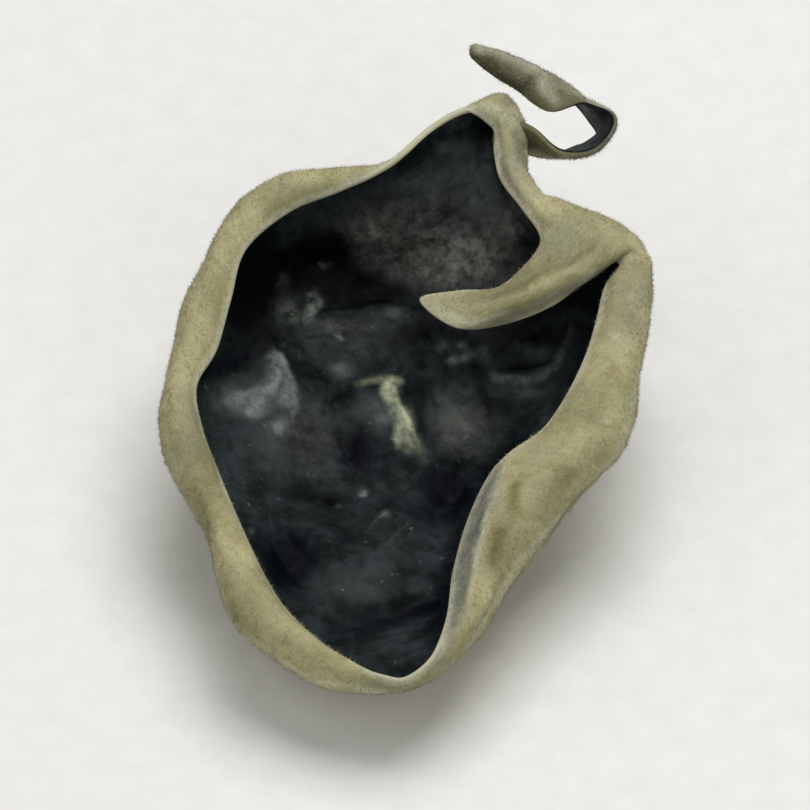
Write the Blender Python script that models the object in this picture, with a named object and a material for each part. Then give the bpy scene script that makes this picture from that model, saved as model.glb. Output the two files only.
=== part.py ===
"""Dried wood ear mushroom, modelled as the one folded sheet that it grew as.

The fruit body is a sheet about a millimetre thick: black and smooth on its upper, inner side, felted on its
outer side. Drying has cupped it like an ear and rolled its margin inwards. The sheet is worked out as a function
of two parameters: the station round the margin, and the way out from the middle of the cup, up the wall, over
the rolled margin and on to the free edge. A curled strip at the top right and the cut stub where the fruit body
sat on the wood are part of the same solid.

Frame: +Z up, +Y to the back of the ear, the origin under the middle of the part, on the surface it lies on.
Lengths are in millimetres until the mesh is made.
"""

import math

import bpy
import numpy as np

MM = 0.001
SIGHT_LINE = math.radians(45)
SHEET_THICKNESS = 1.0
BAND_THICKNESS = 0.6
EDGE_THICKNESS = 0.4
AROUND = 80
NORMAL_PASSES = 3
HUB = (-0.3, -6.6, 1.7)

# The margin, station by station, anticlockwise from the front tip. A station gives the crest, where the wall
# turns over, then any points of the band on the way, then the lip, which is the band's free edge. A point is
# (across, up the sight line, height).
MARGIN = (
    ((0.3, -18.4, 5.6), (0.0, -17.8, 6.9)),
    ((2.7, -17.4, 6.2), (1.8, -16.3, 7.6)),
    ((4.9, -15.0, 6.9), (4.4, -14.4, 8.1), (3.5, -14.1, 8.5), (2.7, -13.9, 8.1)),
    ((6.6, -12.2, 7.5), (5.8, -11.4, 9.1), (4.4, -11.2, 9.3), (3.1, -11.2, 8.2)),
    ((8.3, -9.1, 8.2), (6.9, -8.2, 9.9), (5.5, -8.0, 10.1), (4.0, -8.0, 8.7)),
    ((10.1, -6.8, 8.8), (8.5, -5.8, 10.6), (6.9, -5.4, 10.7), (5.3, -5.2, 9.3)),
    ((11.8, -5.2, 9.4), (10.1, -4.2, 11.1), (8.4, -3.8, 11.2), (6.7, -3.6, 9.9)),
    ((13.4, -3.6, 10.0), (8.9, -2.0, 10.5)),
    ((14.5, -1.4, 10.5), (10.5, 0.3, 11.1)),
    ((15.2, 1.6, 11.0), (11.7, 2.8, 11.5)),
    ((15.6, 4.6, 11.4), (12.4, 5.1, 11.9)),
    ((15.8, 7.0, 11.8), (12.9, 7.1, 12.3)),
    ((15.6, 8.3, 12.0), (13.9, 8.6, 12.6)),
    ((15.2, 9.2, 12.2), (14.4, 9.6, 13.1), (13.5, 9.4, 13.1), (12.5, 8.8, 12.5)),
    ((14.7, 9.9, 12.4), (12.8, 9.1, 13.4), (11.2, 7.8, 12.5), (9.7, 6.3, 11.3)),
    ((14.1, 10.4, 12.6), (11.2, 8.4, 13.3), (8.4, 6.2, 11.4), (6.4, 4.9, 9.8)),
    ((13.6, 10.8, 12.7), (9.6, 7.5, 12.9), (5.4, 5.0, 10.2), (3.3, 4.6, 9.3)),
    ((13.0, 11.2, 12.8), (9.2, 7.9, 13.0), (4.0, 5.6, 10.0), (1.0, 6.3, 9.4)),
    ((12.4, 11.5, 12.9), (9.4, 8.4, 13.2), (5.1, 6.3, 10.6), (3.4, 6.8, 9.9)),
    ((11.8, 11.8, 13.0), (9.8, 9.5, 13.5), (7.9, 8.1, 12.3), (6.0, 7.1, 11.0)),
    ((11.1, 12.1, 13.2), (9.9, 10.6, 13.9), (9.0, 9.6, 13.1), (7.8, 8.7, 12.3)),
    ((10.2, 12.5, 13.4), (8.7, 10.4, 13.6)),
    ((9.0, 13.0, 13.6), (7.5, 12.4, 14.2)),
    ((7.9, 14.4, 13.9), (6.2, 14.2, 14.5)),
    ((7.3, 16.1, 14.4), (5.8, 16.0, 15.1)),
    ((7.0, 17.6, 14.9), (5.8, 17.2, 15.7)),
    ((6.2, 18.7, 15.2), (5.3, 17.9, 16.2)),
    ((4.4, 18.0, 15.3), (3.9, 18.6, 16.6)),
    ((1.9, 16.7, 15.1), (1.6, 17.4, 16.4)),
    ((-1.0, 14.7, 14.8), (-1.2, 15.0, 16.0)),
    ((-4.9, 14.2, 14.5), (-4.3, 13.5, 15.6)),
    ((-8.8, 13.2, 14.3), (-7.5, 12.2, 15.2)),
    ((-12.0, 10.8, 13.6), (-10.4, 9.7, 14.5)),
    ((-14.1, 7.1, 12.1), (-11.4, 6.4, 13.0)),
    ((-14.9, 3.8, 11.0), (-12.3, 3.2, 11.8)),
    ((-15.6, 0.9, 10.2), (-13.6, 0.8, 10.9)),
    ((-15.5, -2.0, 9.5), (-13.2, -2.0, 10.1)),
    ((-14.3, -5.3, 8.9), (-12.1, -4.9, 9.5)),
    ((-12.8, -9.0, 8.2), (-10.7, -8.2, 8.9)),
    ((-11.4, -12.5, 7.5), (-9.2, -11.3, 8.1)),
    ((-10.0, -14.7, 6.9), (-7.8, -13.5, 7.6)),
    ((-7.8, -16.5, 6.3), (-5.7, -15.5, 7.1)),
    ((-5.3, -17.8, 5.9), (-3.6, -16.8, 7.0)),
    ((-2.5, -18.4, 5.7), (-1.7, -17.6, 6.9)),
)

# The wall's profile, as (station, share of the climb that is the open slope, power of that slope).
WALL = ((0, 0.93, 1.5), (3, 0.80, 1.8), (6, 0.64, 2.2), (12, 0.66, 2.2), (18, 0.70, 2.1), (24, 0.78, 2.0),
        (30, 0.74, 2.0), (35, 0.68, 2.1), (38, 0.86, 1.6), (41, 0.93, 1.4))
STEEP_POWER = 11
WALL_SHARES = (0.16, 0.32, 0.48, 0.64, 0.79, 0.90)
RING_STEPS = (0.0, 0.07, 0.125, 0.165, 0.185, 0.22, 0.255, 0.29, 0.325, 0.36, 0.395, 0.43, 0.465, 0.50, 0.54,
              0.575, 0.61, 0.64, 0.67, 0.70, 0.735, 0.775, 0.82, 0.87, 0.92, 0.96, 1.0)

# The sheet's thickness at a few steps of the way out.
THICKNESS_STEPS = (0.35, 0.58, 0.92, 1.0)
THICKNESSES = (SHEET_THICKNESS, BAND_THICKNESS, BAND_THICKNESS, EDGE_THICKNESS)

# The roll of the margin: its radius as a share of the band's width and the least and most that it may be, how far
# its control points stand off, the angles of the first two, and the angle of the third for a narrow and a wide
# band.
ROLL_SHARE = 0.42
ROLL_RADIUS = (0.9, 1.1)
ROLL_REACH = 1.12
ROLL_ANGLES = (-55, 0)
ROLL_TOP = ((1.4, 2.2), (5, 55))

# A plain band's arch: where its two points lie between crest and lip, the second one's share of the rise, and the
# rise for each millimetre of width, for a band wider than narrow.
BAND_PLACES = (0.42, 0.74)
BAND_SECOND = 0.8
BAND_RISE = 0.08
WIDE_BAND_RISE = 0.85
NARROW_BAND = 1.5

# The stub's cut face: rings in it, its outline's share of the ring above, and its ragged edge as (waves round,
# start, depth).
STUB_RING = 3
STUB_SHARE = 0.84
STUB_RAGS = ((3, 1.0, 0.05), (5, 2.3, 0.04), (9, 0.0, 0.02))

# Veins on the felted outer side: (station at the stub, station at the far end, first step, last step, height).
VEINS = ((1.0, 0.2, 0.20, 0.50, 0.6), (4.5, 5.5, 0.20, 0.56, 0.7), (8.6, 8.2, 0.22, 0.47, 0.5),
         (12.0, 13.2, 0.20, 0.52, 0.8), (18.5, 17.0, 0.20, 0.52, 0.7), (23.5, 24.5, 0.20, 0.50, 0.8),
         (28.0, 29.6, 0.24, 0.55, 0.6), (32.0, 31.2, 0.20, 0.50, 0.8), (36.5, 37.4, 0.20, 0.56, 0.7),
         (41.0, 40.4, 0.22, 0.50, 0.6))
VEIN_HALF_WIDTH = 0.95
VEIN_SWAY = 0.25
VEIN_SWAY_RATE = 9
VEIN_FADE = 0.14

# Slow waves of the dried sheet: (turns per mm across, turns per mm back, start, height), and the steps over which
# they die out.
WAVES = ((0.055, 0.034, 0.4, 0.26), (-0.041, 0.073, 2.1, 0.22), (0.094, -0.052, 4.0, 0.15),
         (0.070, 0.101, 1.2, 0.12))
WAVE_FADE = 0.3

# Folds of the whole sheet inside the cup: (points as across and up the sight line, height, half width).
FOLDS = (
    (((-7.8, 2.6), (-4.0, 3.2), (-0.5, 4.1), (3.0, 3.4)), 0.9, 2.1),
    (((-6.8, 7.3), (-4.0, 7.6), (-0.5, 8.0)), -1.6, 2.6),
    (((-7.9, -9.4), (-6.8, -11.4)), -0.9, 1.5),
    (((2.2, -6.8), (4.4, -4.4)), -1.0, 1.5),
    (((-5.3, -14.7), (-1.8, -14.2), (1.5, -13.3)), -0.6, 1.1),
    (((-1.0, -4.0), (-0.5, -8.0), (-1.5, -11.5)), 0.7, 2.0),
    (((3.0, 0.5), (7.0, 0.2), (9.5, 2.0)), 0.6, 1.0),
    (((-0.5, 12.5), (3.5, 13.0)), 0.7, 2.4),
)
FOLD_END = 0.60
FOLD_FADE = 0.10
HUB_FADE = 0.12

# The strip curled back at the top right: path points, half width, bend across the strip, and its width direction
# as (across, up the sight line, towards the eye).
STRIP_PATH = ((5.6, 17.2, 14.6), (7.6, 16.8, 14.3), (10.0, 15.8, 13.9), (11.9, 16.2, 13.9), (12.8, 17.5, 14.2),
              (11.9, 18.8, 14.6), (10.0, 20.2, 15.2), (7.2, 21.8, 15.8), (4.1, 22.7, 16.2))
STRIP_HALF_WIDTH = (1.3, 1.5, 1.7, 1.8, 1.9, 2.0, 2.1, 1.9, 0.9)
STRIP_BEND = (0.0, 0.0, 0.05, 0.08, 0.08, 0.15, 0.75, 1.2, 1.2)
STRIP_WIDTH_WAY = ((0.2, 0.6, 0.8), (0.2, 0.5, 0.8), (0.1, 0.0, 1.0), (0.1, -0.18, 1.0), (0.3, -0.05, 1.0),
                   (0.2, 0.0, 1.0), (-0.2, -0.5, 0.9), (-0.2, -0.5, 0.9), (-0.2, -0.5, 0.9))
LEAST_BEND = 0.02
STRIP_THICKNESS = 0.55
STRIP_ALONG = 38
STRIP_ACROSS = 9

MATERIAL_COLOUR = (0.22, 0.20, 0.12, 1.0)


def upright(points):
    """Turn points given as (across, up the sight line, height) into x, y, z."""
    points = np.asarray(points, dtype=float)
    back = (points[..., 1] - points[..., 2] * math.cos(SIGHT_LINE)) / math.sin(SIGHT_LINE)
    return np.stack((points[..., 0], back, points[..., 2]), axis=-1)


def sight(points):
    """How far up the sight line each x, y, z point is seen."""
    return points[..., 1] * math.sin(SIGHT_LINE) + points[..., 2] * math.cos(SIGHT_LINE)


def length(vectors):
    return np.linalg.norm(vectors, axis=-1, keepdims=True)


def through(values, where, closed):
    """A smooth curve through a row of values: a cubic between each two, with the slope of its neighbours."""
    values = np.asarray(values, dtype=float)
    count = len(values)
    start = np.floor(where).astype(int)
    if not closed:
        start = np.minimum(start, count - 2)
    part = (where - start).reshape((-1,) + (1,) * (values.ndim - 1))
    picks = [start + shift for shift in (-1, 0, 1, 2)]
    picks = [pick % count if closed else np.clip(pick, 0, count - 1) for pick in picks]
    a, b, c, d = (values[pick] for pick in picks)
    return b + 0.5 * part * (c - a + part * (2 * a - 5 * b + 4 * c - d + part * (3 * (b - c) + d - a)))


def pulled(controls, steps):
    """A smooth curve drawn towards a row of control points: the uniform cubic spline with both ends held."""
    before, after = 2 * controls[:1] - controls[1:2], 2 * controls[-1:] - controls[-2:-1]
    controls = np.concatenate((before, controls, after))
    spans = len(controls) - 3
    where = np.clip(np.asarray(steps) * spans, 0, spans - 1e-9)
    start = where.astype(int)
    part = (where - start).reshape((-1,) + (1,) * (controls.ndim - 1))
    a, b, c, d = (controls[start + shift] for shift in range(4))
    return ((1 - part) ** 3 * a + (3 * part ** 3 - 6 * part ** 2 + 4) * b
            + (1 + 3 * part + 3 * part ** 2 - 3 * part ** 3) * c + part ** 3 * d) / 6


def margin_columns(around):
    """Crest, two band points and lip for every column, and the wall's profile there."""
    rows = []
    for station in MARGIN:
        points = upright(station)
        if len(points) == 2:
            crest, lip = points
            width = np.linalg.norm(crest - lip)
            wide = min(max(width - NARROW_BAND, 0.0), 1.0)
            rise = np.array((0.0, 0.0, BAND_RISE * width + WIDE_BAND_RISE * wide))
            first, second = (crest + (lip - crest) * place for place in BAND_PLACES)
            points = np.array((crest, first + rise, second + rise * BAND_SECOND, lip))
        rows.append(points)
    where = np.arange(around) * len(MARGIN) / around
    columns = through(rows, where, True)
    stations = np.array([row[0] for row in WALL])
    profile = np.stack([np.interp(where, stations, [row[item] for row in WALL], period=len(MARGIN))
                        for item in (1, 2)], axis=-1)
    return columns, profile


def evened(ring):
    """The same closed curve with its points evenly spaced, kept as near as can be to where they were."""
    closed = np.concatenate((ring, ring[:1]))
    travelled = np.concatenate(((0.0,), np.cumsum(length(np.diff(closed, axis=0))[:, 0])))
    share = travelled / travelled[-1]
    even = np.arange(len(ring)) / len(ring)
    even = (even + np.mean(share[:-1] - even)) % 1.0
    return np.stack([np.interp(even, share, closed[:, axis]) for axis in range(3)], axis=-1)


def middle_surface(around, steps):
    """The middle of the sheet: ring by ring from the hub to the free edge, as an array of rings and columns."""
    columns, profile = margin_columns(around)
    crest, band_one, band_two, lip = columns.transpose(1, 0, 2)
    hub = upright(HUB)
    along = np.roll(crest, -1, axis=0) - np.roll(crest, 1, axis=0)
    outward = np.stack((along[:, 1], -along[:, 0], np.zeros(around)), axis=-1)
    outward /= length(outward)
    up = np.array((0.0, 0.0, 1.0))
    width = length(lip - crest)
    radius = np.clip(ROLL_SHARE * width, *ROLL_RADIUS)
    centre = crest - outward * (radius + BAND_THICKNESS / 2)
    turn = [centre + ROLL_REACH * radius * (outward * np.cos(angle) + up * np.sin(angle))
            for angle in map(np.radians, ROLL_ANGLES + (np.interp(width, *ROLL_TOP),))]
    even = evened(turn[0])
    open_share, power = profile[:, :1], profile[:, 1:]
    rings = [np.repeat(hub[None], around, axis=0)]
    for share in WALL_SHARES:
        reach = even * (1 - share ** 3) + turn[0] * share ** 3
        ring = hub + (reach - hub) * share
        climb = open_share * share ** power + (1 - open_share) * share ** STEEP_POWER
        ring[:, 2] = hub[2] + (reach[:, 2] - hub[2]) * climb[:, 0]
        rings.append(ring)
    rings += turn + [band_one, band_two, lip]
    return pulled(np.array(rings), steps)


def normals(grid):
    """The unit normal of every point of a grid closed round its columns, on the sheet's upper side."""
    across = np.roll(grid, -1, axis=1) - np.roll(grid, 1, axis=1)
    outward = np.gradient(grid, axis=0)
    across[0] = across[1]
    normal = np.cross(outward, across)
    normal[0] = normal[1].mean(axis=0)
    normal /= np.maximum(length(normal), 1e-9)
    for _ in range(NORMAL_PASSES):
        normal = (np.roll(normal, 1, axis=1) + 2 * normal + np.roll(normal, -1, axis=1)) / 4
    return normal / np.maximum(length(normal), 1e-9)


def near_line(across, up, line):
    """Distance from points to a bent line, both seen along the sight line."""
    best = np.full(across.shape, np.inf)
    for (x0, v0), (x1, v1) in zip(line[:-1], line[1:]):
        span = (x1 - x0) ** 2 + (v1 - v0) ** 2
        share = np.clip(((across - x0) * (x1 - x0) + (up - v0) * (v1 - v0)) / span, 0, 1)
        best = np.minimum(best, np.hypot(across - x0 - share * (x1 - x0), up - v0 - share * (v1 - v0)))
    return best


def fold_height(grid):
    """The height of the folds inside the cup: a rounded ridge or groove along each line."""
    across, up = grid[..., 0], sight(grid)
    total = np.zeros(across.shape)
    for line, height, half_width in FOLDS:
        total += height * np.exp(-(near_line(across, up, line) / half_width) ** 2)
    return total


def wave_height(grid, steps):
    """Slow waves over the whole sheet, dying out at the hub and at the free edge."""
    total = sum(height * np.sin(2 * math.pi * (across * grid[..., 0] + back * grid[..., 1]) + start)
                for across, back, start, height in WAVES)
    return total * (np.clip(steps / WAVE_FADE, 0, 1) * np.clip((1.0 - steps) / WAVE_FADE, 0, 1))[:, None]


def vein_height(grid, steps):
    """Raised veins that run from the stub up the outer wall and fade before the rolled margin."""
    around = grid.shape[1]
    station = np.arange(around)[None] * len(MARGIN) / around
    spacing = length(np.roll(grid, -1, axis=1) - np.roll(grid, 1, axis=1))[..., 0] / 2 * around / len(MARGIN)
    total = np.zeros(spacing.shape)
    for near, far, first, last, height in VEINS:
        part = np.clip((steps - first) / (last - first), 0, 1)[:, None]
        away = station - (near + (far - near) * part + VEIN_SWAY * np.sin(VEIN_SWAY_RATE * part + near))
        away = (away + len(MARGIN) / 2) % len(MARGIN) - len(MARGIN) / 2
        fade = np.clip((last - steps) / VEIN_FADE, 0, 1)[:, None]
        total += height * fade * np.exp(-(away * spacing / VEIN_HALF_WIDTH) ** 2)
    return total


def stub_face(under, hub, stub_ring):
    """Turn the middle rings of the lower skin into the stub's flat cut face, a little inside the next ring."""
    outline = (under[stub_ring + 1] - hub)[:, :2]
    angle = np.arctan2(outline[:, 1], outline[:, 0])
    ragged = 1 + sum(depth * np.sin(waves * angle + start) for waves, start, depth in STUB_RAGS)
    outline = outline * STUB_SHARE * ragged[:, None]
    for index in range(stub_ring + 1):
        under[index, :, :2] = hub[:2] + outline * index / stub_ring
        under[index, :, 2] = 0.0


def sheet(around, steps, stub_ring):
    """Both skins of the sheet, as rings and columns of points."""
    steps = np.asarray(steps)
    middle = middle_surface(around, steps)
    inside = (np.clip((FOLD_END - steps) / FOLD_FADE, 0, 1) * np.clip(steps / HUB_FADE, 0, 1))[:, None]
    lift = fold_height(middle) * inside + wave_height(middle, steps)
    middle = middle + normals(middle) * lift[..., None]
    normal = normals(middle)
    half = np.interp(steps, THICKNESS_STEPS, THICKNESSES)[:, None, None] / 2
    upper = middle + normal * half
    under = middle - normal * (half + vein_height(middle, steps)[..., None])
    stub_face(under, upright(HUB), stub_ring)
    edge_way = middle[-1] - middle[-2]
    edge = middle[-1] + edge_way / length(edge_way) * EDGE_THICKNESS / 2
    return upper, edge, under


def sheet_mesh(upper, edge, under):
    """Points and faces of the closed sheet: the upper skin, the rounded edge, the lower skin."""
    around = upper.shape[1]
    rings = [ring for ring in upper[1:]] + [edge] + [ring for ring in under[:0:-1]]
    points = np.concatenate([upper[0, :1]] + rings + [under[0, :1]])
    last = len(points) - 1
    column = np.arange(around)
    pairs = list(zip(column.tolist(), ((column + 1) % around).tolist()))
    faces = [(0, 1 + one, 1 + two) for one, two in pairs]
    for ring in range(len(rings) - 1):
        low, high = 1 + ring * around, 1 + (ring + 1) * around
        faces += [(low + one, high + one, high + two, low + two) for one, two in pairs]
    low = 1 + (len(rings) - 1) * around
    faces += [(low + one, last, low + two) for one, two in pairs]
    return points, faces


def from_sight(vectors):
    """Turn directions given as (across, up the sight line, towards the eye) into x, y, z."""
    vectors = np.asarray(vectors, dtype=float)
    across, up, near = vectors[..., 0], vectors[..., 1], vectors[..., 2]
    lean, fall = math.sin(SIGHT_LINE), math.cos(SIGHT_LINE)
    return np.stack((across, up * lean - near * fall, up * fall + near * lean), axis=-1)


def strip_skins(along, across_count):
    """Both skins of the curled strip: an arc of growing bend carried along the path."""
    where = np.linspace(0, len(STRIP_PATH) - 1, along)
    path = through(upright(STRIP_PATH), where, False)
    half_width = through(STRIP_HALF_WIDTH, where, False)[:, None]
    bend = np.maximum(through(STRIP_BEND, where, False), LEAST_BEND)[:, None]
    tangent = np.gradient(path, axis=0)
    tangent /= length(tangent)
    width_way = through(from_sight(STRIP_WIDTH_WAY), where, False)
    width_way -= tangent * (width_way * tangent).sum(axis=-1, keepdims=True)
    width_way /= length(width_way)
    felt_way = np.cross(tangent, width_way)
    angle = bend * half_width * np.linspace(-1, 1, across_count)[None]
    skins = []
    for side in (-0.5, 0.5):
        arm = 1 / bend + side * STRIP_THICKNESS
        skins.append(path[:, None] + width_way[:, None] * (arm * np.sin(angle))[..., None]
                     + felt_way[:, None] * (arm * np.cos(angle) - 1 / bend)[..., None])
    return skins


def strip_mesh(inner, outer):
    """Points and faces of the closed strip."""
    along, across_count = inner.shape[:2]
    points = np.concatenate((inner.reshape(-1, 3), outer.reshape(-1, 3)))
    shift = along * across_count
    faces = []
    for row in range(along - 1):
        for column in range(across_count - 1):
            a = row * across_count + column
            b, c, d = a + 1, a + across_count + 1, a + across_count
            faces += [(a, b, c, d), (a + shift, d + shift, c + shift, b + shift)]
    rim = ([column for column in range(across_count)]
           + [row * across_count + across_count - 1 for row in range(1, along)]
           + [(along - 1) * across_count + column for column in range(across_count - 2, -1, -1)]
           + [row * across_count for row in range(along - 2, 0, -1)])
    for one, two in zip(rim, rim[1:] + rim[:1]):
        faces.append((one, one + shift, two + shift, two))
    return points, faces


def mesh_object(name, points, faces):
    mesh = bpy.data.meshes.new(name)
    mesh.from_pydata((points * MM).tolist(), [], faces)
    mesh.update()
    piece = bpy.data.objects.new(name, mesh)
    bpy.context.scene.collection.objects.link(piece)
    return piece


def main():
    for old in list(bpy.data.objects):
        bpy.data.objects.remove(old, do_unlink=True)
    upper, edge, under = sheet(AROUND, RING_STEPS, STUB_RING)
    body = mesh_object("wood_ear", *sheet_mesh(upper, edge, under))
    strip = mesh_object("curled_strip", *strip_mesh(*strip_skins(STRIP_ALONG, STRIP_ACROSS)))
    join = body.modifiers.new("join", "BOOLEAN")
    join.operation, join.solver, join.object = "UNION", "EXACT", strip
    bpy.context.view_layer.update()
    joined = bpy.data.meshes.new_from_object(body.evaluated_get(bpy.context.evaluated_depsgraph_get()))
    body.modifiers.clear()
    body.data = joined
    bpy.data.objects.remove(strip, do_unlink=True)
    corners = np.array([vertex.co for vertex in joined.vertices])
    low, high = corners.min(axis=0), corners.max(axis=0)
    middle = (low + high) / 2
    for vertex in joined.vertices:
        vertex.co.x -= middle[0]
        vertex.co.y -= middle[1]
    material = bpy.data.materials.new("dried_mushroom_felt")
    material.use_nodes = True
    material.node_tree.nodes["Principled BSDF"].inputs["Base Color"].default_value = MATERIAL_COLOUR
    joined.materials.clear()
    joined.materials.append(material)
    for face in joined.polygons:
        face.use_smooth = True


if __name__ == "__main__":
    main()
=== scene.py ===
"""Looks of the dried wood ear mushroom.

The fruit body is rebuilt here on a fine grid from the same stations as the CAD solid, with the small
relief that the solid leaves out: leathery wrinkles and a scar on the black inner skin, creases and short nap
on the felted outer side. Lengths are in millimetres until a mesh is made.
"""

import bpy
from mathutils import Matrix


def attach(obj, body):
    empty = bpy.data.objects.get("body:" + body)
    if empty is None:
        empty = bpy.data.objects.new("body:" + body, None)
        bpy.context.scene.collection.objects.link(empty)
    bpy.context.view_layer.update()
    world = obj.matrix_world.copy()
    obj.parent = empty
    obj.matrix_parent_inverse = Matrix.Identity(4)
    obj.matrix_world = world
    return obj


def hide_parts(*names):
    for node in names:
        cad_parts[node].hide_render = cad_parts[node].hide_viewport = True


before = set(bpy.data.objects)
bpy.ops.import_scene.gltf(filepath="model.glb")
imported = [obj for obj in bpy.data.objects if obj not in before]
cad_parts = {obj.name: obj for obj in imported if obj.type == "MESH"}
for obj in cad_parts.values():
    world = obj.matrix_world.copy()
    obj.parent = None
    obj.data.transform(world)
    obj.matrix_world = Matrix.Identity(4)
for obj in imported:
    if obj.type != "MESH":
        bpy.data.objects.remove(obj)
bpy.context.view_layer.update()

import itertools
import math

import bpy
import numpy as np
from mathutils import Vector

MM = 0.001
SIGHT_LINE = math.radians(45)
SHEET_THICKNESS = 1.0
BAND_THICKNESS = 0.6
EDGE_THICKNESS = 0.4
AROUND = 410

# How often the normals are evened out round each ring, and how often the sheet's folds are eased.
NORMAL_PASSES = 80
EASING_PASSES = 60

# The hub that the rings start from, as (across, up the sight line, height), and the move into the shared
# frame.
HUB = (-0.3, -6.6, 1.7)
ROW_SHIFT = (-0.0208, 7.7687, 0.0)

# The margin, station by station, anticlockwise from the front tip. A station gives the crest, where the wall
# turns over, then any points of the band on the way, then the lip, which is the band's free edge. A point is
# (across, up the sight line, height).
MARGIN = (
    ((0.3, -18.4, 5.6), (0.0, -17.8, 6.9)),
    ((2.7, -17.4, 6.2), (1.8, -16.3, 7.6)),
    ((4.9, -15.0, 6.9), (4.4, -14.4, 8.1), (3.5, -14.1, 8.5), (2.7, -13.9, 8.1)),
    ((6.6, -12.2, 7.5), (5.8, -11.4, 9.1), (4.4, -11.2, 9.3), (3.1, -11.2, 8.2)),
    ((8.3, -9.1, 8.2), (6.9, -8.2, 9.9), (5.5, -8.0, 10.1), (4.0, -8.0, 8.7)),
    ((10.1, -6.8, 8.8), (8.5, -5.8, 10.6), (6.9, -5.4, 10.7), (5.3, -5.2, 9.3)),
    ((11.8, -5.2, 9.4), (10.1, -4.2, 11.1), (8.4, -3.8, 11.2), (6.7, -3.6, 9.9)),
    ((13.4, -3.6, 10.0), (8.9, -2.0, 10.5)),
    ((14.5, -1.4, 10.5), (10.5, 0.3, 11.1)),
    ((15.2, 1.6, 11.0), (11.7, 2.8, 11.5)),
    ((15.6, 4.6, 11.4), (12.4, 5.1, 11.9)),
    ((15.8, 7.0, 11.8), (12.9, 7.1, 12.3)),
    ((15.6, 8.3, 12.0), (13.9, 8.6, 12.6)),
    ((15.2, 9.2, 12.2), (14.4, 9.6, 13.1), (13.5, 9.4, 13.1), (12.5, 8.8, 12.5)),
    ((14.7, 9.9, 12.4), (12.8, 9.1, 13.4), (11.2, 7.8, 12.5), (9.7, 6.3, 11.3)),
    ((14.1, 10.4, 12.6), (11.2, 8.4, 13.3), (8.4, 6.2, 11.4), (6.4, 4.9, 9.8)),
    ((13.6, 10.8, 12.7), (9.6, 7.5, 12.9), (5.4, 5.0, 10.2), (3.3, 4.6, 9.3)),
    ((13.0, 11.2, 12.8), (9.2, 7.9, 13.0), (4.0, 5.6, 10.0), (1.0, 6.3, 9.4)),
    ((12.4, 11.5, 12.9), (9.4, 8.4, 13.2), (5.1, 6.3, 10.6), (3.4, 6.8, 9.9)),
    ((11.8, 11.8, 13.0), (9.8, 9.5, 13.5), (7.9, 8.1, 12.3), (6.0, 7.1, 11.0)),
    ((11.1, 12.1, 13.2), (9.9, 10.6, 13.9), (9.0, 9.6, 13.1), (7.8, 8.7, 12.3)),
    ((10.2, 12.5, 13.4), (8.7, 10.4, 13.6)),
    ((9.0, 13.0, 13.6), (7.5, 12.4, 14.2)),
    ((7.9, 14.4, 13.9), (6.2, 14.2, 14.5)),
    ((7.3, 16.1, 14.4), (5.8, 16.0, 15.1)),
    ((7.0, 17.6, 14.9), (5.8, 17.2, 15.7)),
    ((6.2, 18.7, 15.2), (5.3, 17.9, 16.2)),
    ((4.4, 18.0, 15.3), (3.9, 18.6, 16.6)),
    ((1.9, 16.7, 15.1), (1.6, 17.4, 16.4)),
    ((-1.0, 14.7, 14.8), (-1.2, 15.0, 16.0)),
    ((-4.9, 14.2, 14.5), (-4.3, 13.5, 15.6)),
    ((-8.8, 13.2, 14.3), (-7.5, 12.2, 15.2)),
    ((-12.0, 10.8, 13.6), (-10.4, 9.7, 14.5)),
    ((-14.1, 7.1, 12.1), (-11.4, 6.4, 13.0)),
    ((-14.9, 3.8, 11.0), (-12.3, 3.2, 11.8)),
    ((-15.6, 0.9, 10.2), (-13.6, 0.8, 10.9)),
    ((-15.5, -2.0, 9.5), (-13.2, -2.0, 10.1)),
    ((-14.3, -5.3, 8.9), (-12.1, -4.9, 9.5)),
    ((-12.8, -9.0, 8.2), (-10.7, -8.2, 8.9)),
    ((-11.4, -12.5, 7.5), (-9.2, -11.3, 8.1)),
    ((-10.0, -14.7, 6.9), (-7.8, -13.5, 7.6)),
    ((-7.8, -16.5, 6.3), (-5.7, -15.5, 7.1)),
    ((-5.3, -17.8, 5.9), (-3.6, -16.8, 7.0)),
    ((-2.5, -18.4, 5.7), (-1.7, -17.6, 6.9)),
)

# The station of each column of the grid, with its fraction.
COLUMN_STATIONS = np.arange(AROUND) * len(MARGIN) / AROUND

# The wall's profile, as (station, share of the climb that is the open slope, power of that slope). The rest
# of the climb has the steep power, and the wall's rings lie at these shares of the way out.
WALL = ((0, 0.93, 1.5), (3, 0.80, 1.8), (6, 0.64, 2.2), (12, 0.66, 2.2), (18, 0.70, 2.1), (24, 0.78, 2.0),
        (30, 0.74, 2.0), (35, 0.68, 2.1), (38, 0.86, 1.6), (41, 0.93, 1.4))
STEEP_POWER = 11
WALL_SHARES = (0.16, 0.32, 0.48, 0.64, 0.79, 0.90)


# The fine rings of each skin, span by span out from the hub: (step at the span's end, rings in it). The black
# skin has the floor of the cup, the wall, the turn of the margin and its side of the band. The felted one has
# the stub's cut face, which ends at the stub's step, the stub's side, which ends at its foot, the wall, the
# turn and the band. Between the skins the free edge has a ring at each of these angles.
UPPER_SPANS = ((0.185, 24), (0.56, 84), (0.76, 14), (1.0, 10))
UNDER_SPANS = ((0.165, 10), (0.185, 3), (0.56, 36), (0.76, 16), (1.0, 24))
STUB_STEP = 0.165
STUB_FOOT_STEP = 0.185
EDGE_ANGLES = (50, 0, -50)

# The sheet's thickness at a few steps of the way out.
THICKNESS_STEPS = (0.35, 0.58, 0.92, 1.0)
THICKNESSES = (SHEET_THICKNESS, BAND_THICKNESS, BAND_THICKNESS, EDGE_THICKNESS)

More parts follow.
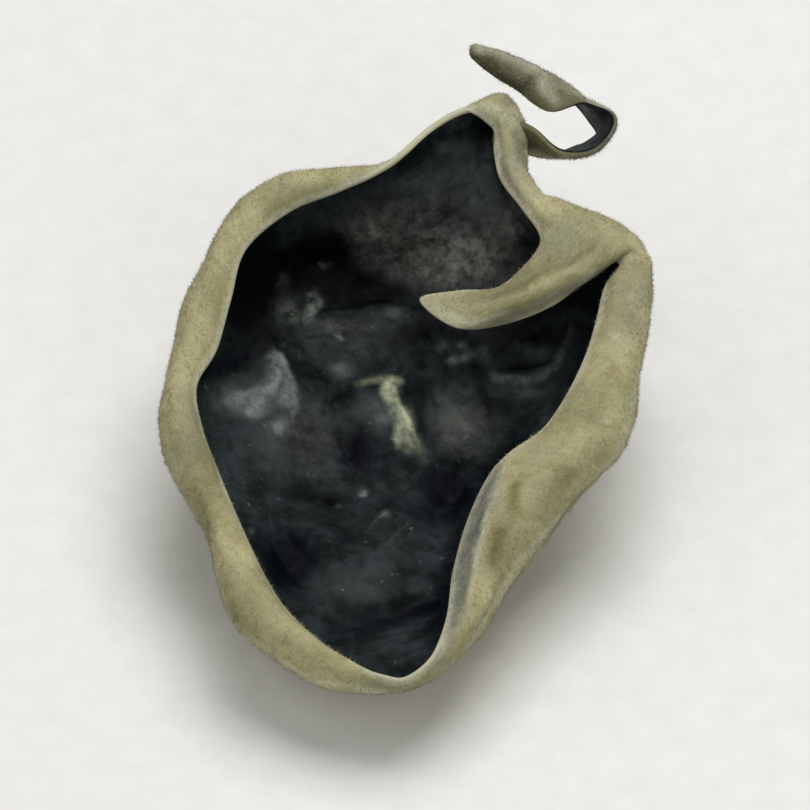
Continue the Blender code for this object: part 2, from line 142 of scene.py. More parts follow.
# The roll of the margin: its radius as a share of the band's width and the least and most that it may be, how
# far its control points stand off, the angles of the first two, and the angle of the third for a narrow and a
# wide band.
ROLL_SHARE = 0.42
ROLL_RADIUS = (0.9, 1.1)
ROLL_REACH = 1.12
ROLL_ANGLES = (-55, 0)
ROLL_TOP = ((1.4, 2.2), (5, 55))

# A plain band's arch: where its two points lie between crest and lip, the second one's share of the rise, the
# rise for each millimetre of width, and what a wide band adds, from none at the first width to all at the
# second.
BAND_PLACES = (0.42, 0.74)
BAND_SECOND = 0.8
BAND_RISE = 0.08
WIDE_BAND_RISE = 0.85
WIDE_BAND = (1.5, 2.5)

# The stub's outline as a share of the ring above, its ragged edge as (waves round, start, depth), how its
# side curves up, and the lumps of its torn face.
STUB_SHARE = 0.84
STUB_RAGS = ((3, 1.0, 0.05), (5, 2.3, 0.04), (9, 0.0, 0.02))
STUB_FLARE = 1.4
TORN_SIZE = 0.8
TORN_HEIGHT = 0.35

# Veins on the felted outer side: (station at the stub, station at the far end, first step, last step,
# height), then their half width, how far and how often they sway, and the steps over which they fade.
VEINS = ((1.0, 0.2, 0.20, 0.50, 0.6), (4.5, 5.5, 0.20, 0.56, 0.7), (8.6, 8.2, 0.22, 0.47, 0.5),
         (12.0, 13.2, 0.20, 0.52, 0.8), (18.5, 17.0, 0.20, 0.52, 0.7), (23.5, 24.5, 0.20, 0.50, 0.8),
         (28.0, 29.6, 0.24, 0.55, 0.6), (32.0, 31.2, 0.20, 0.50, 0.8), (36.5, 37.4, 0.20, 0.56, 0.7),
         (41.0, 40.4, 0.22, 0.50, 0.6))
VEIN_HALF_WIDTH = 0.95
VEIN_SWAY = 0.25
VEIN_SWAY_RATE = 9
VEIN_FADE = 0.14

# Slow waves of the dried sheet: (turns per mm across, turns per mm back, start, height), and the steps over
# which they die out.
WAVES = ((0.055, 0.034, 0.4, 0.26), (-0.041, 0.073, 2.1, 0.22), (0.094, -0.052, 4.0, 0.15),
         (0.070, 0.101, 1.2, 0.12))
WAVE_FADE = 0.3


# Folds of the whole sheet inside the cup: (points as across and up the sight line, height, half width), and
# the steps from where there is none of them to where they are whole, at the margin and at the hub.
FOLDS = (
    (((-7.8, 2.6), (-4.0, 3.2), (-0.5, 4.1), (3.0, 3.4)), 0.9, 2.1),
    (((-6.8, 7.3), (-4.0, 7.6), (-0.5, 8.0)), -1.6, 2.6),
    (((-7.9, -9.4), (-6.8, -11.4)), -0.9, 1.5),
    (((2.2, -6.8), (4.4, -4.4)), -1.0, 1.5),
    (((-5.3, -14.7), (-1.8, -14.2), (1.5, -13.3)), -0.6, 1.1),
    (((-1.0, -4.0), (-0.5, -8.0), (-1.5, -11.5)), 0.7, 2.0),
    (((3.0, 0.5), (7.0, 0.2), (9.5, 2.0)), 0.6, 1.0),
    (((-0.5, 12.5), (3.5, 13.0)), 0.7, 2.4),
)
FOLD_SPAN = (0.60, 0.50)
HUB_SPAN = (0.0, 0.12)

# Steps from where there is none of something to where all of it shows: the felt's wrinkles on the wall, its
# creases on the band, its relief short of the free edge, then the skin's creases, its relief short of that
# edge, the skin's marks, and the marks and the thicker nap of the band. The last is how far from the stub the
# relief starts.
WALL_SPAN = (0.60, 0.48)
BAND_CREASE_SPAN = (0.66, 0.72)
FELT_EDGE_SPAN = (1.0, 0.96)
SKIN_CREASE_SPAN = (0.62, 0.52)
SKIN_EDGE_SPAN = (1.0, 0.94)
SKIN_MARK_SPAN = (0.66, 0.60)
BAND_SPAN = (0.60, 0.66)
STUB_STILL = 0.06

# Relief takes away at most this share of half the sheet's thickness.
RELIEF_DEPTH = 0.6

# The felt's wrinkles, coarse and fine: (how many a station, length, seed), (height, share of it left on the
# band), and how much each stands out in colour, with the creases last. They sway, the fine ones start between
# two distances from the hub, and their mean is taken off.
WRINKLES = ((1, 6.0, 12), (2, 4.0, 13))
WRINKLE_HEIGHTS = ((0.30, 0.15), (0.17, 0.20))
WRINKLE_STAND = (0.4, 0.7, 4.0)
WRINKLE_SWAY = 0.8
WRINKLE_SWAY_SIZE = 5.0
FINE_WRINKLES = (7.0, 13.0)
WRINKLE_MEAN = 0.6

# Low lumps of the felt and of the black skin, as (size, height, seed).
FELT_LUMPS = ((2.6, 0.11, 14), (1.1, 0.06, 15), (0.55, 0.025, 16))
SKIN_LUMPS = ((1.1, 0.08, 26), (0.6, 0.045, 27))

# The black skin's net of wrinkles, as (size, height, seed), how far and how slowly it drifts, and the crumbs
# of its scale. The means are taken off, and the last number rounds the crests of every wrinkle.
NET = ((3.1, 0.12, 24), (1.7, 0.06, 25))
NET_MEAN = 0.5
NET_DRIFT = 0.7
NET_DRIFT_SIZE = 2.4
CRUMB_HEIGHT = 0.35
CRUMB_SIZE = 0.9
CRUMB_MEAN = 0.3
CREST_ROUNDING = 0.012

# How far drawn lines stray, as (size of the noise, distance, seed), and how a crease ends: the share of its
# length over which it is lowered, and the share of its height that is left.
STRAY = ((1.5, 0.15, 61), (0.6, 0.10, 64))
CREASE_END = 0.12
CREASE_LEAST = 0.35

# Creases of the black skin alone, too sharp for the solid: (points as across and up the sight line, height,
# half width on the line's left hand, half width on its right hand). They are the sill's two light edges with
# the slit, notch and crack beside them, the scar, the shelf and the knobs under the folded lip, the pocket at
# the front, and small folds around them and on the upper lobe.
CREASES = (
    (((-7.1, 4.0), (-5.4, 4.95), (-3.6, 5.1), (-1.8, 5.5), (-0.5, 5.5)), 0.6, 0.3, 1.3),
    (((-6.6, 3.85), (-5.5, 4.0), (-4.7, 3.95)), -0.3, 0.24, 0.2),
    (((-8.1, 3.3), (-7.3, 2.5), (-6.8, 1.4)), -0.95, 0.6, 0.35),
    (((-6.8, 1.7), (-5.6, 1.15), (-4.7, 0.85)), -0.35, 0.5, 0.22),
    (((-3.0, 1.0), (-1.5, 1.4), (-0.3, 1.2)), 0.2, 0.35, 0.3),
    (((-0.6, 0.9), (-0.1, -0.8), (0.5, -2.1), (1.1, -3.3)), 0.26, 0.22, 1.1),
    (((-5.4, -14.7), (-1.8, -14.1), (1.6, -13.2)), -0.14, 0.6, 0.8),
    (((-5.3, -14.0), (-1.8, -13.3), (1.6, -12.4)), 0.22, 0.8, 0.4),
    (((1.4, 4.4), (2.9, 3.2), (3.6, 2.0)), -0.4, 0.35, 0.45),
    (((5.3, 1.4), (7.5, 1.35), (9.4, 2.0), (10.1, 3.2), (10.8, 5.6)), 0.55, 0.35, 0.9),
    (((5.6, 2.9), (6.6, 2.2), (8.0, 2.0), (9.3, 2.3)), -0.6, 0.4, 0.28),
    (((7.2, 3.2), (8.6, 3.4)), 0.5, 0.6, 0.5),
    (((2.2, 3.3), (2.6, 3.3)), 0.32, 0.32, 0.32),
    (((3.2, 3.2), (3.7, 3.2)), 0.32, 0.32, 0.32),
    (((4.1, 3.1), (4.5, 3.1)), 0.32, 0.32, 0.32),
    (((2.7, 2.1), (3.1, 2.1)), 0.3, 0.32, 0.32),
    (((3.9, 2.1), (4.4, 2.1)), 0.3, 0.32, 0.32),
    (((5.0, 2.8), (5.0, 2.3)), 0.3, 0.3, 0.3),
    (((1.4, -3.9), (3.0, -4.2), (5.0, -3.9)), 0.22, 0.8, 0.3),
    (((1.9, 0.6), (2.3, -0.6)), 0.3, 0.4, 0.4),
    (((5.0, 1.0), (5.2, -0.6), (4.7, -2.6)), -0.3, 0.3, 0.8),
    (((-4.6, 0.4), (-4.4, -2.0), (-3.6, -4.4)), -0.3, 0.9, 0.35),
    (((-2.9, -8.8), (-1.2, -7.2)), 0.06, 0.15, 0.2),
    (((-2.2, -10.2), (0.2, -8.0)), 0.05, 0.15, 0.2),
    (((-9.6, 0.2), (-8.4, 1.2), (-7.8, 2.4)), 0.22, 0.4, 0.5),
    (((-9.3, -1.2), (-8.0, -0.6), (-7.0, -1.4)), 0.16, 0.35, 0.45),
    (((-8.6, -8.6), (-7.4, -10.6), (-5.8, -12.4)), -0.55, 0.9, 0.7),
    (((5.4, 16.9), (5.6, 14.6), (6.6, 12.0), (8.1, 10.2)), -0.3, 0.3, 0.6),
    (((-5.0, 11.0), (-2.0, 10.4), (0.6, 10.9), (3.4, 10.2)), 0.22, 0.5, 0.6),
    (((0.8, 14.6), (2.6, 13.2), (3.2, 11.6)), -0.2, 0.45, 0.6),
)

# Creases of the felted band, given the same way: the fold inside the lower left edge, the ridge beside the
# shaded inner facet at the lower right and the hollow beyond it, the dents of the right band, the fold that
# parts the lip from the felt above it, the ridge down the upper rim with the groove on its right, and the
# left rim's ridge.
LIP_FOLD = ((4.0, 6.3), (6.4, 6.8), (8.4, 7.8), (10.6, 8.7), (12.2, 9.7))
FELT_CREASES = (
    (((-14.2, -5.6), (-13.0, -8.6), (-11.7, -12.2), (-10.2, -14.8), (-7.8, -16.6), (-4.6, -17.9)), -0.18, 0.2,
     0.24),
    (((6.4, -4.4), (5.4, -6.6), (5.0, -8.6), (4.5, -10.2), (4.2, -11.8), (3.8, -13.8), (2.6, -16.2)), 0.26,
     0.35, 0.3),
    (((7.2, -5.2), (6.6, -7.2), (5.9, -9.4), (5.4, -11.2)), -0.3, 0.5, 0.5),
    (((12.6, 5.0), (13.4, 5.6), (14.4, 5.2), (14.9, 4.2)), -0.22, 0.25, 0.5),
    (((10.4, -1.0), (12.2, -1.8), (14.0, -2.0)), -0.1, 0.6, 0.5),
    (LIP_FOLD, -0.6, 0.4, 0.28),
    (((5.0, 5.6), (6.8, 6.1), (8.8, 7.0), (10.8, 8.0)), 0.2, 0.3, 0.4),
    (((6.2, 17.6), (6.7, 15.4), (7.4, 13.6), (9.0, 11.6)), 0.18, 0.32, 0.32),
    (((7.0, 17.4), (7.5, 15.4), (8.2, 13.8)), -0.18, 0.3, 0.3),
    (((-13.9, -3.0), (-12.9, -6.2), (-11.4, -10.0)), 0.1, 0.3, 0.45),
)

# The strip curled back at the top right: path points, half width, bend across the strip, and its width
# direction as (across, up the sight line, towards the eye).
STRIP_PATH = ((5.6, 17.2, 14.6), (7.6, 16.8, 14.3), (10.0, 15.8, 13.9), (11.9, 16.2, 13.9),
              (12.8, 17.5, 14.2), (11.9, 18.8, 14.6), (10.0, 20.2, 15.2), (7.2, 21.8, 15.8), (4.1, 22.7, 16.2))
STRIP_HALF_WIDTH = (1.3, 1.5, 1.7, 1.8, 1.9, 2.0, 2.1, 1.9, 0.65)
STRIP_BEND = (0.0, 0.0, 0.05, 0.08, 0.08, 0.15, 0.75, 1.2, 1.2)
STRIP_WIDTH_WAY = ((0.2, 0.6, 0.8), (0.2, 0.5, 0.8), (0.1, 0.0, 1.0), (0.1, -0.18, 1.0), (0.3, -0.05, 1.0),
                   (0.2, 0.0, 1.0), (-0.2, -0.5, 0.9), (-0.2, -0.5, 0.9), (-0.2, -0.5, 0.9))
LEAST_BEND = 0.02
STRIP_THICKNESS = 0.55
STRIP_SHADE = 0.72
STRIP_ALONG = 110
STRIP_ROUND = 44

# How far the strip's rings crowd towards its ends, the length over which it closes there, and its low lumps.
# A face is felt or black where its section point lies further than this to that side.
STRIP_EASED = 0.35
STRIP_END = 0.35
STRIP_LUMP = 0.05
STRIP_LUMP_SIZE = 1.2
FELT_SIDE = 0.3

# Patches of the black skin, as (across, up the sight line, half width, half height, strength): the grey bloom
# of dried spores, with painted highlights among it, as the glow on the left wall and the lit knobs and facets
# under
# the folded lip, the warmer dust of the upper lobe, the crumbly tan scale left of the sill, and painted shade:
# blue-black, in part the skin's own colour, and green-black in the valley behind the sill and other deep
# places.
BLOOM_AND_HIGHLIGHTS = (
    (-10.4, -0.3, 2.0, 0.9, 0.62), (-9.8, -0.9, 0.5, 0.4, 0.5), (-8.2, -1.8, 0.7, 0.6, 0.55),
    (-7.8, 0.2, 0.5, 0.6, 0.6), (-8.6, 0.7, 0.55, 0.8, 0.5), (-9.8, 0.6, 0.8, 0.5, 0.3),
    (-10.4, 0.3, 1.4, 0.8, 0.25), (-7.3, -0.2, 0.7, 1.0, 0.2), (-9.2, -3.4, 1.6, 2.0, 0.22),
    (-2.4, -0.8, 0.8, 1.2, 0.3), (-1.5, -1.1, 0.6, 1.1, 0.6), (-3.4, -12.0, 2.6, 1.0, 0.16),
    (-1.2, -10.0, 1.4, 1.8, 0.12), (3.4, -0.8, 1.6, 1.6, 0.6), (-4.3, 1.9, 0.8, 0.5, 0.75),
    (7.4, 0.5, 1.8, 0.5, 0.35), (8.2, 3.1, 1.1, 0.5, 0.55), (3.6, 2.7, 1.2, 0.4, 0.2),
    (2.4, 3.3, 0.36, 0.28, 0.5), (3.5, 3.4, 0.4, 0.26, 0.65), (4.3, 3.1, 0.34, 0.28, 0.5),
    (2.9, 2.4, 0.36, 0.26, 0.6), (3.7, 2.6, 0.3, 0.26, 0.5), (5.1, 2.7, 0.3, 0.34, 0.6),
    (6.4, 1.1, 0.8, 0.35, 0.3), (10.2, 3.8, 0.4, 1.6, 0.2), (-0.9, 5.6, 0.45, 0.3, 0.9),
    (1.0, 14.2, 2.2, 1.2, 0.36), (4.9, 15.6, 1.0, 1.3, 0.8), (-2.8, -6.12, 0.22, 0.22, 2.0),
    (-4.5, -6.9, 0.22, 0.18, 0.8), (-1.3, -7.4, 0.28, 0.22, 0.8), (-8.1, 1.3, 0.28, 0.26, 0.8),
    (-10.1, -0.9, 0.3, 0.26, 0.9), (-8.25, -1.9, 0.26, 0.3, 0.9), (-9.3, 0.5, 0.26, 0.22, 0.6),
    (-9.9, -8.48, 0.22, 0.22, 0.6), (-0.5, -15.6, 2.4, 0.7, 0.08),
)
DUST = (
    (0.9, 9.2, 2.4, 1.7, 1.3), (4.4, 8.9, 2.4, 1.7, 1.3), (-1.6, 11.6, 2.4, 1.5, 0.3),
    (-2.2, 10.2, 1.7, 1.3, 1.3), (7.2, 11.0, 0.8, 0.9, 0.9), (2.6, 12.4, 2.6, 1.8, 0.2),
    (3.4, 16.0, 1.8, 2.2, 0.1), (6.3, 12.0, 0.9, 1.6, 1.1), (-2.8, 3.6, 2.6, 1.0, 0.2),
    (-4.8, 4.7, 1.6, 0.45, 0.45), (3.6, -1.8, 1.6, 1.6, 0.75), (-6.4, -2.4, 2.0, 2.2, 0.42),
)
SCALE = (
    (-6.2, 5.9, 0.42, 0.65, 0.6), (-7.5, 5.6, 0.9, 1.0, 0.42), (-6.2, 6.7, 0.35, 0.35, 0.5),
    (-8.0, 7.6, 0.4, 0.5, 0.3), (-5.5, 8.6, 0.5, 0.22, 0.4),
)
# Blue-black patches: partly the skin's own colour, mostly painted shade in hollows and under overhangs.
BLUE_BLACK_AND_SHADE = (
    (-3.0, -3.6, 1.3, 1.5, 1.2), (2.6, -6.0, 1.9, 2.0, 1.8), (8.4, 4.2, 2.8, 1.0, 1.0),
    (-2.9, -2.2, 0.8, 1.0, 0.6), (-7.7, -10.4, 1.5, 1.9, 1.8), (4.8, 17.4, 0.9, 1.0, 0.7),
    (5.2, 2.0, 0.8, 0.8, 0.7), (0.9, 2.2, 0.26, 0.3, 0.8), (2.75, 1.6, 0.32, 0.22, 0.9),
    (4.4, 2.0, 0.3, 0.2, 0.9), (2.5, 0.8, 0.22, 0.16, 0.8), (3.8, 0.8, 0.22, 0.16, 0.8),
    (5.3, -1.1, 0.3, 0.2, 0.7),
)
# Painted shade: green-black where shade falls in the valley behind the sill, the upper left and other hollows.
PAINTED_GREEN_SHADE = (
    (-2.8, 6.9, 3.0, 1.15, 1.8), (-9.8, 7.4, 2.0, 4.0, 1.8), (0.8, 4.3, 1.2, 0.9, 1.0),
    (-4.8, -7.2, 1.9, 1.3, 0.65), (-5.0, 10.0, 1.6, 1.4, 1.2), (1.0, 0.0, 0.4, 1.0, 0.9),
    (-6.5, -5.6, 0.9, 0.6, 0.65), (-5.0, -6.7, 0.8, 0.45, 0.65), (-7.7, -7.2, 0.8, 0.6, 0.5),
    (-3.5, -5.3, 0.7, 0.5, 0.5), (-9.6, -5.6, 0.6, 0.9, 0.4), (-6.0, 8.6, 2.0, 1.6, 1.2),
    (7.6, 10.2, 0.5, 0.6, 0.8),
)

# Marks drawn along lines: (points, strength at each point, how far it fades on the left hand, how far on the
# right hand). The scars are worn through to the pale flesh. The streaks are grey: painted highlights on the
# glow's crisp sides, the lit folds at the right and the slit's light end, and two scratches and a streak on
# the scale. The hollows are painted shade, black: in the notch, slits and cracks, and the deep shade of the
# left wall, under the folded lip and along the lower right band.
SCARS = (
    (((-3.2, 1.0), (-2.3, 1.15), (-1.6, 1.2), (-1.0, 1.15), (-0.4, 1.05)), (0.15, 0.45, 0.7, 1.1, 0.35), 0.4,
     0.4),
    (((-1.15, 1.0), (-1.05, 0.3), (-0.75, -0.5), (-0.45, -1.1)), (1.0, 0.85, 0.7, 0.6), 0.42, 0.7),
    (((-0.8, 0.6), (-0.5, -0.4), (0.05, -1.3), (0.4, -2.1), (0.7, -2.8)), (0.7, 0.7, 0.95, 0.7, 0.35), 0.3,
     0.65),
    (((-0.3, -1.4), (-0.5, -2.1), (-0.7, -2.7)), (0.4, 0.58, 0.45), 0.8, 0.45),
    (((-0.3, -1.1), (-0.15, -2.2), (0.15, -3.0)), (0.5, 0.5, 0.38), 1.0, 0.9),
    (((0.5, -2.6), (1.2, -3.6)), (0.3, 0.1), 0.45, 0.9),
)
STREAKS_AND_HIGHLIGHTS = (
    (((-8.1, 2.7), (-7.5, 1.4), (-7.2, 0.2), (-7.4, -1.5)), (0.55, 0.65, 0.5, 0.2), 0.55, 1.4),
    (((-8.0, 2.6), (-8.5, 0.9), (-9.6, -0.6)), (0.7, 0.8, 0.5), 0.6, 1.1),
    (((-9.6, 0.6), (-10.8, 0.2), (-12.0, -0.2)), (0.4, 0.5, 0.1), 0.9, 0.4),
    (((-2.6, -8.5), (-1.3, -7.3)), (0.05, 0.22), 0.15, 0.15),
    (((-2.0, -10.0), (0.0, -8.1)), (0.04, 0.12), 0.15, 0.15),
    (((5.2, 2.6), (5.9, 1.5), (7.6, 1.3), (8.9, 1.6), (10.0, 2.7), (10.6, 4.0), (10.8, 5.6)),
     (0.1, 0.3, 0.32, 0.25, 0.25, 0.3, 0.1), 0.35, 0.6),
    (((-4.7, 4.05), (-4.1, 3.85)), (0.4, 0.6), 0.16, 0.16),
    (((-6.4, 5.0), (-6.05, 5.7), (-5.6, 6.4)), (0.7, 0.95, 0.4), 0.45, 0.45),
)
# Painted shade along lines: black in cracks, slits and under overhangs.
HOLLOW_SHADE_LINES = (
    (((-8.3, 3.4), (-7.4, 2.5), (-6.8, 1.4)), (1.0, 1.0, 0.7), 0.5, 0.35),
    (((-6.9, 1.7), (-5.4, 1.15), (-4.6, 0.8)), (0.9, 0.8, 0.3), 0.3, 0.26),
    (((-6.5, 3.95), (-4.8, 3.95)), (0.8, 0.9), 0.18, 0.18),
    (((-14.0, 1.3), (-11.0, 2.2), (-8.4, 3.7)), (1.0, 1.0, 1.0), 2.2, 0.8),
    (((1.0, 5.4), (4.4, 3.7), (7.4, 4.6), (9.8, 6.0), (12.4, 8.6)), (1.0, 1.0, 1.0, 1.0, 1.0), 2.0, 1.0),
    (((-0.3, 0.8), (0.35, 0.1)), (0.9, 0.8), 0.35, 0.3),
    (((7.6, -2.4), (5.2, -5.2), (3.9, -8.0), (2.8, -11.4), (2.0, -15.4)), (0.5, 1.0, 1.0, 1.0, 0.8), 2.0,
     1.5),
    (((5.5, 3.0), (6.6, 2.2), (8.0, 2.0), (9.3, 2.3)), (0.6, 1.0, 1.0, 0.6), 0.34, 0.3),
    (((-5.0, -14.9), (-1.8, -14.1), (0.4, -13.8), (2.0, -13.2)), (0.5, 0.8, 1.1, 1.3), 1.0, 0.8),
    (((5.4, 17.4), (5.8, 14.8), (6.5, 12.8), (8.0, 10.8)), (0.9, 0.8, 0.6, 0.7), 0.5, 0.35),
    (((7.3, 10.5), (7.9, 9.9)), (0.8, 0.9), 0.3, 0.3),
    (((1.3, -4.4), (2.8, -4.8), (5.0, -4.4)), (0.8, 1.0, 1.0), 0.5, 1.8),
    (((0.2, 0.5), (0.8, -1.2), (1.5, -3.2)), (0.7, 0.7, 0.5), 0.6, 0.25),
    (((4.6, 1.0), (5.4, -0.8), (5.6, -2.6)), (0.5, 0.6, 0.4), 0.7, 0.35),
)

# The felt's patches and lines, given the same way: olive-brown where the nap is rubbed off, and the same
# olive-brown as painted shade in the fold above the lip, in the strip's crease, at the left rim and on the top
# of the right band; greyed by dust, and greyed as painted shade on the strip's lower side, the facet beside
# the lower right lip and the upper rim; painted shade along lines, as on the strip's lower side and that
# facet; and pale along the free edges, with painted highlights on the lit ridge beside the lower right lip and
# the lip's lower edge.
STRIP_LOWER_SIDE = ((4.1, 21.8), (5.4, 20.9), (6.9, 19.9))
RUBBED_AND_SHADED = (
    (6.9, 5.9, 0.7, 0.3, 0.5), (10.6, 7.8, 0.8, 0.4, 0.5), (-13.2, -4.4, 1.4, 3.6, 0.62),
    (13.0, 2.2, 0.8, 1.6, 0.2), (-10.2, -13.6, 1.4, 2.0, 0.4), (7.7, 16.3, 0.5, 0.6, 1.0),
    (4.6, 5.2, 1.2, 0.25, 0.3), (12.4, -3.0, 0.6, 1.0, 0.2), (-12.8, -7.4, 0.5, 1.4, 0.2),
    (14.4, 6.4, 0.9, 1.8, 0.25), (8.8, -6.0, 1.2, 1.6, 0.22),
)
# Greyed by dust, and greyed as painted shade on the right band's top, the left rim and the upper rim.
GREYED_AND_SHADED = (
    (13.0, 17.2, 1.4, 2.0, 1.0), (8.0, 21.0, 5.0, 2.2, 0.4), (6.9, 14.8, 1.1, 2.8, 0.5),
    (14.4, 6.2, 1.3, 2.2, 0.45), (-0.5, -18.4, 4.0, 0.5, 0.35), (3.4, 5.9, 2.6, 0.8, 0.2),
    (-13.6, -2.0, 1.4, 3.0, 0.3), (9.8, 10.2, 2.2, 1.4, 0.4),
)
RUBBED_AND_SHADED_LINES = (
    (LIP_FOLD, (0.1, 0.5, 0.7, 0.7, 0.6), 0.34, 0.24),
    (((5.9, -8.5), (5.8, -9.6), (5.5, -10.5)), (0.9, 1.1, 0.8), 1.0, 0.85),
    (((7.0, -5.5), (6.6, -7.0)), (0.9, 0.8), 0.75, 0.65),
    (((11.4, 18.6), (12.5, 18.6)), (0.6, 0.6), 0.22, 0.22),
    (((10.6, 16.2), (11.6, 16.3)), (0.6, 0.5), 0.22, 0.22),
    (((7.4, 19.9), (7.9, 20.5), (8.1, 21.1)), (1.0, 0.7, 0.3), 0.4, 0.4),
    (((9.4, 18.4), (10.6, 18.6), (11.6, 18.9)), (0.4, 0.5, 0.4), 0.3, 0.3),
    (((7.6, 12.0), (7.3, 10.6)), (0.4, 0.6), 0.3, 0.3),
)
SHADED_LINES = (
    (STRIP_LOWER_SIDE, (0.6, 0.7, 0.5), 1.0, 1.0),
    (((4.1, 22.4), (5.6, 21.7), (6.8, 21.2)), (0.3, 0.3, 0.1), 0.8, 0.8),
    (((7.4, 19.9), (8.1, 21.1)), (0.4, 0.1), 0.4, 0.4),
    (((5.9, 17.5), (6.2, 15.4), (6.8, 13.6), (7.6, 12.1)), (0.4, 0.6, 0.5, 0.3), 0.4, 0.6),
    (((5.7, -5.0), (4.9, -6.8), (4.4, -8.6), (3.8, -10.1), (3.4, -11.8), (3.1, -14.2)),
     (0.2, 0.32, 0.32, 0.32, 0.28, 0.2), 0.85, 1.5),
)
# Grey as painted shade on the inner facet at the lower right and on the strip's lower side.
GREYED_AND_SHADED_LINES = (
    (((5.7, -5.0), (4.9, -6.8), (4.4, -8.6), (3.8, -10.1), (3.4, -11.8), (3.1, -14.2), (1.9, -16.6)),
     (1.0, 1.2, 1.2, 1.2, 1.1, 1.0, 0.5), 0.85, 1.5),
    (STRIP_LOWER_SIDE, (1.3, 1.5, 1.2), 0.9, 1.0),
    (((6.9, 17.2), (7.2, 15.2), (7.9, 13.2)), (0.4, 0.4, 0.4), 0.6, 0.5),
)
# Whitish free edges, and painted highlights on the lit ridge beside the lower right lip and the lip's lower
# edge.
PALE_AND_HIGHLIGHT_LINES = (
    (((5.2, 18.9), (6.0, 18.6), (6.9, 18.0)), (0.8, 1.0, 0.5), 0.5, 0.9),
    (((5.4, 17.6), (5.9, 15.6), (6.3, 13.8), (7.4, 12.2)), (0.9, 0.8, 0.7, 0.4), 0.45, 0.35),
    (((1.2, 6.2), (3.0, 5.2), (5.0, 4.7), (7.2, 5.3), (9.6, 6.3), (11.8, 7.9)),
     (0.4, 0.6, 0.7, 0.8, 0.8, 0.7), 0.7, 0.5),
    (((13.2, 4.0), (13.6, 3.9)), (0.6, 0.6), 0.28, 0.28),
    (((14.4, 6.6), (14.8, 6.4)), (0.6, 0.5), 0.24, 0.24),
    (((12.6, -1.5), (12.9, -1.6)), (0.6, 0.6), 0.28, 0.28),
    (((9.9, -0.4), (11.2, 2.0), (12.2, 4.6), (12.9, 7.0)), (0.6, 0.6, 0.6, 0.5), 0.35, 0.35),
    (((6.9, 18.7), (8.1, 18.0), (9.7, 16.5)), (0.6, 0.7, 0.5), 0.35, 0.35),
    (((4.6, 22.9), (9.8, 21.0), (12.8, 18.7)), (0.7, 0.6, 0.5), 0.55, 0.7),
    (((8.6, 20.3), (9.6, 19.3)), (0.6, 0.6), 0.55, 0.55),
    (((7.6, 16.0), (9.4, 15.4), (11.0, 15.3)), (0.5, 0.8, 0.8), 0.35, 0.35),
    (((6.2, -4.6), (5.3, -6.7), (4.9, -8.6), (4.4, -10.2), (4.0, -12.8)), (0.3, 0.5, 0.5, 0.5, 0.2), 0.25,
     0.25),
    (((15.3, 5.0), (15.2, 2.0), (14.4, -0.9), (13.6, -3.4), (11.2, -6.0), (8.4, -9.0), (5.9, -12.4),
     (3.6, -16.0)), (0.2, 0.5, 0.5, 0.5, 0.5, 0.5, 0.5, 0.4), 0.35, 0.4),
    (((-15.0, -4.0), (-12.9, -9.6), (-11.0, -14.4), (-6.0, -18.1), (0.4, -18.8)), (0.2, 0.3, 0.4, 0.6, 0.6),
     0.35, 0.35),
)

# The felt's colour: the wrinkle height above which there is no shade, the shade below it on the wall and on
# the band, how pale the free edge is and how far in, and the grain, on a rim of this length and this many
# times longer on the way out. Bumps are this high.
WRINKLE_TOP = 0.80
WALL_SHADE = 0.55
BAND_SHADE = 0.18
PALE_EDGE = 0.6
PALE_EDGE_WIDTH = 0.5
RIM_LENGTH = 130.0
GRAIN_STRETCH = 5
BUMP_DEPTH = 0.06

# The nap: hairs and how many of them are on the strip, their length and radius, how far they lean out along
# the skin and any way, how many more stand on the band than on the wall, how much of its own way shades a
# hair, how pale tips are and how much of that is lost in shade, and how far a hair keeps off the floor.
NAP_HAIRS = 45000
STRIP_HAIRS = NAP_HAIRS // 16
NAP_LENGTH = (0.10, 0.26)
NAP_RADIUS = 0.016
NAP_LEAN = (0.7, 0.4)
NAP_ON_BAND = 2.5
NAP_SHADING = 0.35
NAP_PALE = 0.4
NAP_SHADED = 0.8
FLOOR_GAP = 0.01

# The camera's aim and the width of its frame, in millimetres, and its long lens.
AIM = (-0.0885, -9.09, 8.5)
FRAME_WIDTH = 52.0
LENS = 900

# The floor and the lamps, in metres: (name, place, size, watts). They point at the last place.
FLOOR_HALF = 1.2
LAMPS = (("key", (0.05, 0.08, 0.33), 0.24, 0.98), ("fill", (-0.22, -0.12, 0.24), 0.30, 0.24),
         ("front", (0.10, -0.28, 0.20), 0.24, 0.24))
LIT_PLACE = (0, 0, 0.008)


def upright(points):
    """Turn points given as (across, up the sight line, height) into x, y, z.

    The way back is what is left of the way up the sight line once the height's share of it is taken off.
    """
    points = np.asarray(points, dtype=float)
    back = (points[..., 1] - points[..., 2] * math.cos(SIGHT_LINE)) / math.sin(SIGHT_LINE)
    return np.stack((points[..., 0], back, points[..., 2]), axis=-1)


def sight(points):
    """How far up the sight line each x, y, z point is seen."""
    return points[..., 1] * math.sin(SIGHT_LINE) + points[..., 2] * math.cos(SIGHT_LINE)


def length(vectors):
    """The length of each vector, kept in a last axis of its own."""
    return np.linalg.norm(vectors, axis=-1, keepdims=True)


def unit(vectors):
    """The vectors divided by their lengths."""
    return vectors / np.maximum(length(vectors), 1e-9)


def ramp(values, start, end):
    """From 0 at start to 1 at end in a straight line, and held on either side."""
    return np.clip((values - start) / (end - start), 0, 1)


def travelled(points):
    """The way from the first point of a row, or from the first ring of a grid, to each of the others."""
    way = np.cumsum(length(np.diff(points, axis=0))[..., 0], axis=0)
    return np.concatenate((np.zeros_like(way[:1]), way))


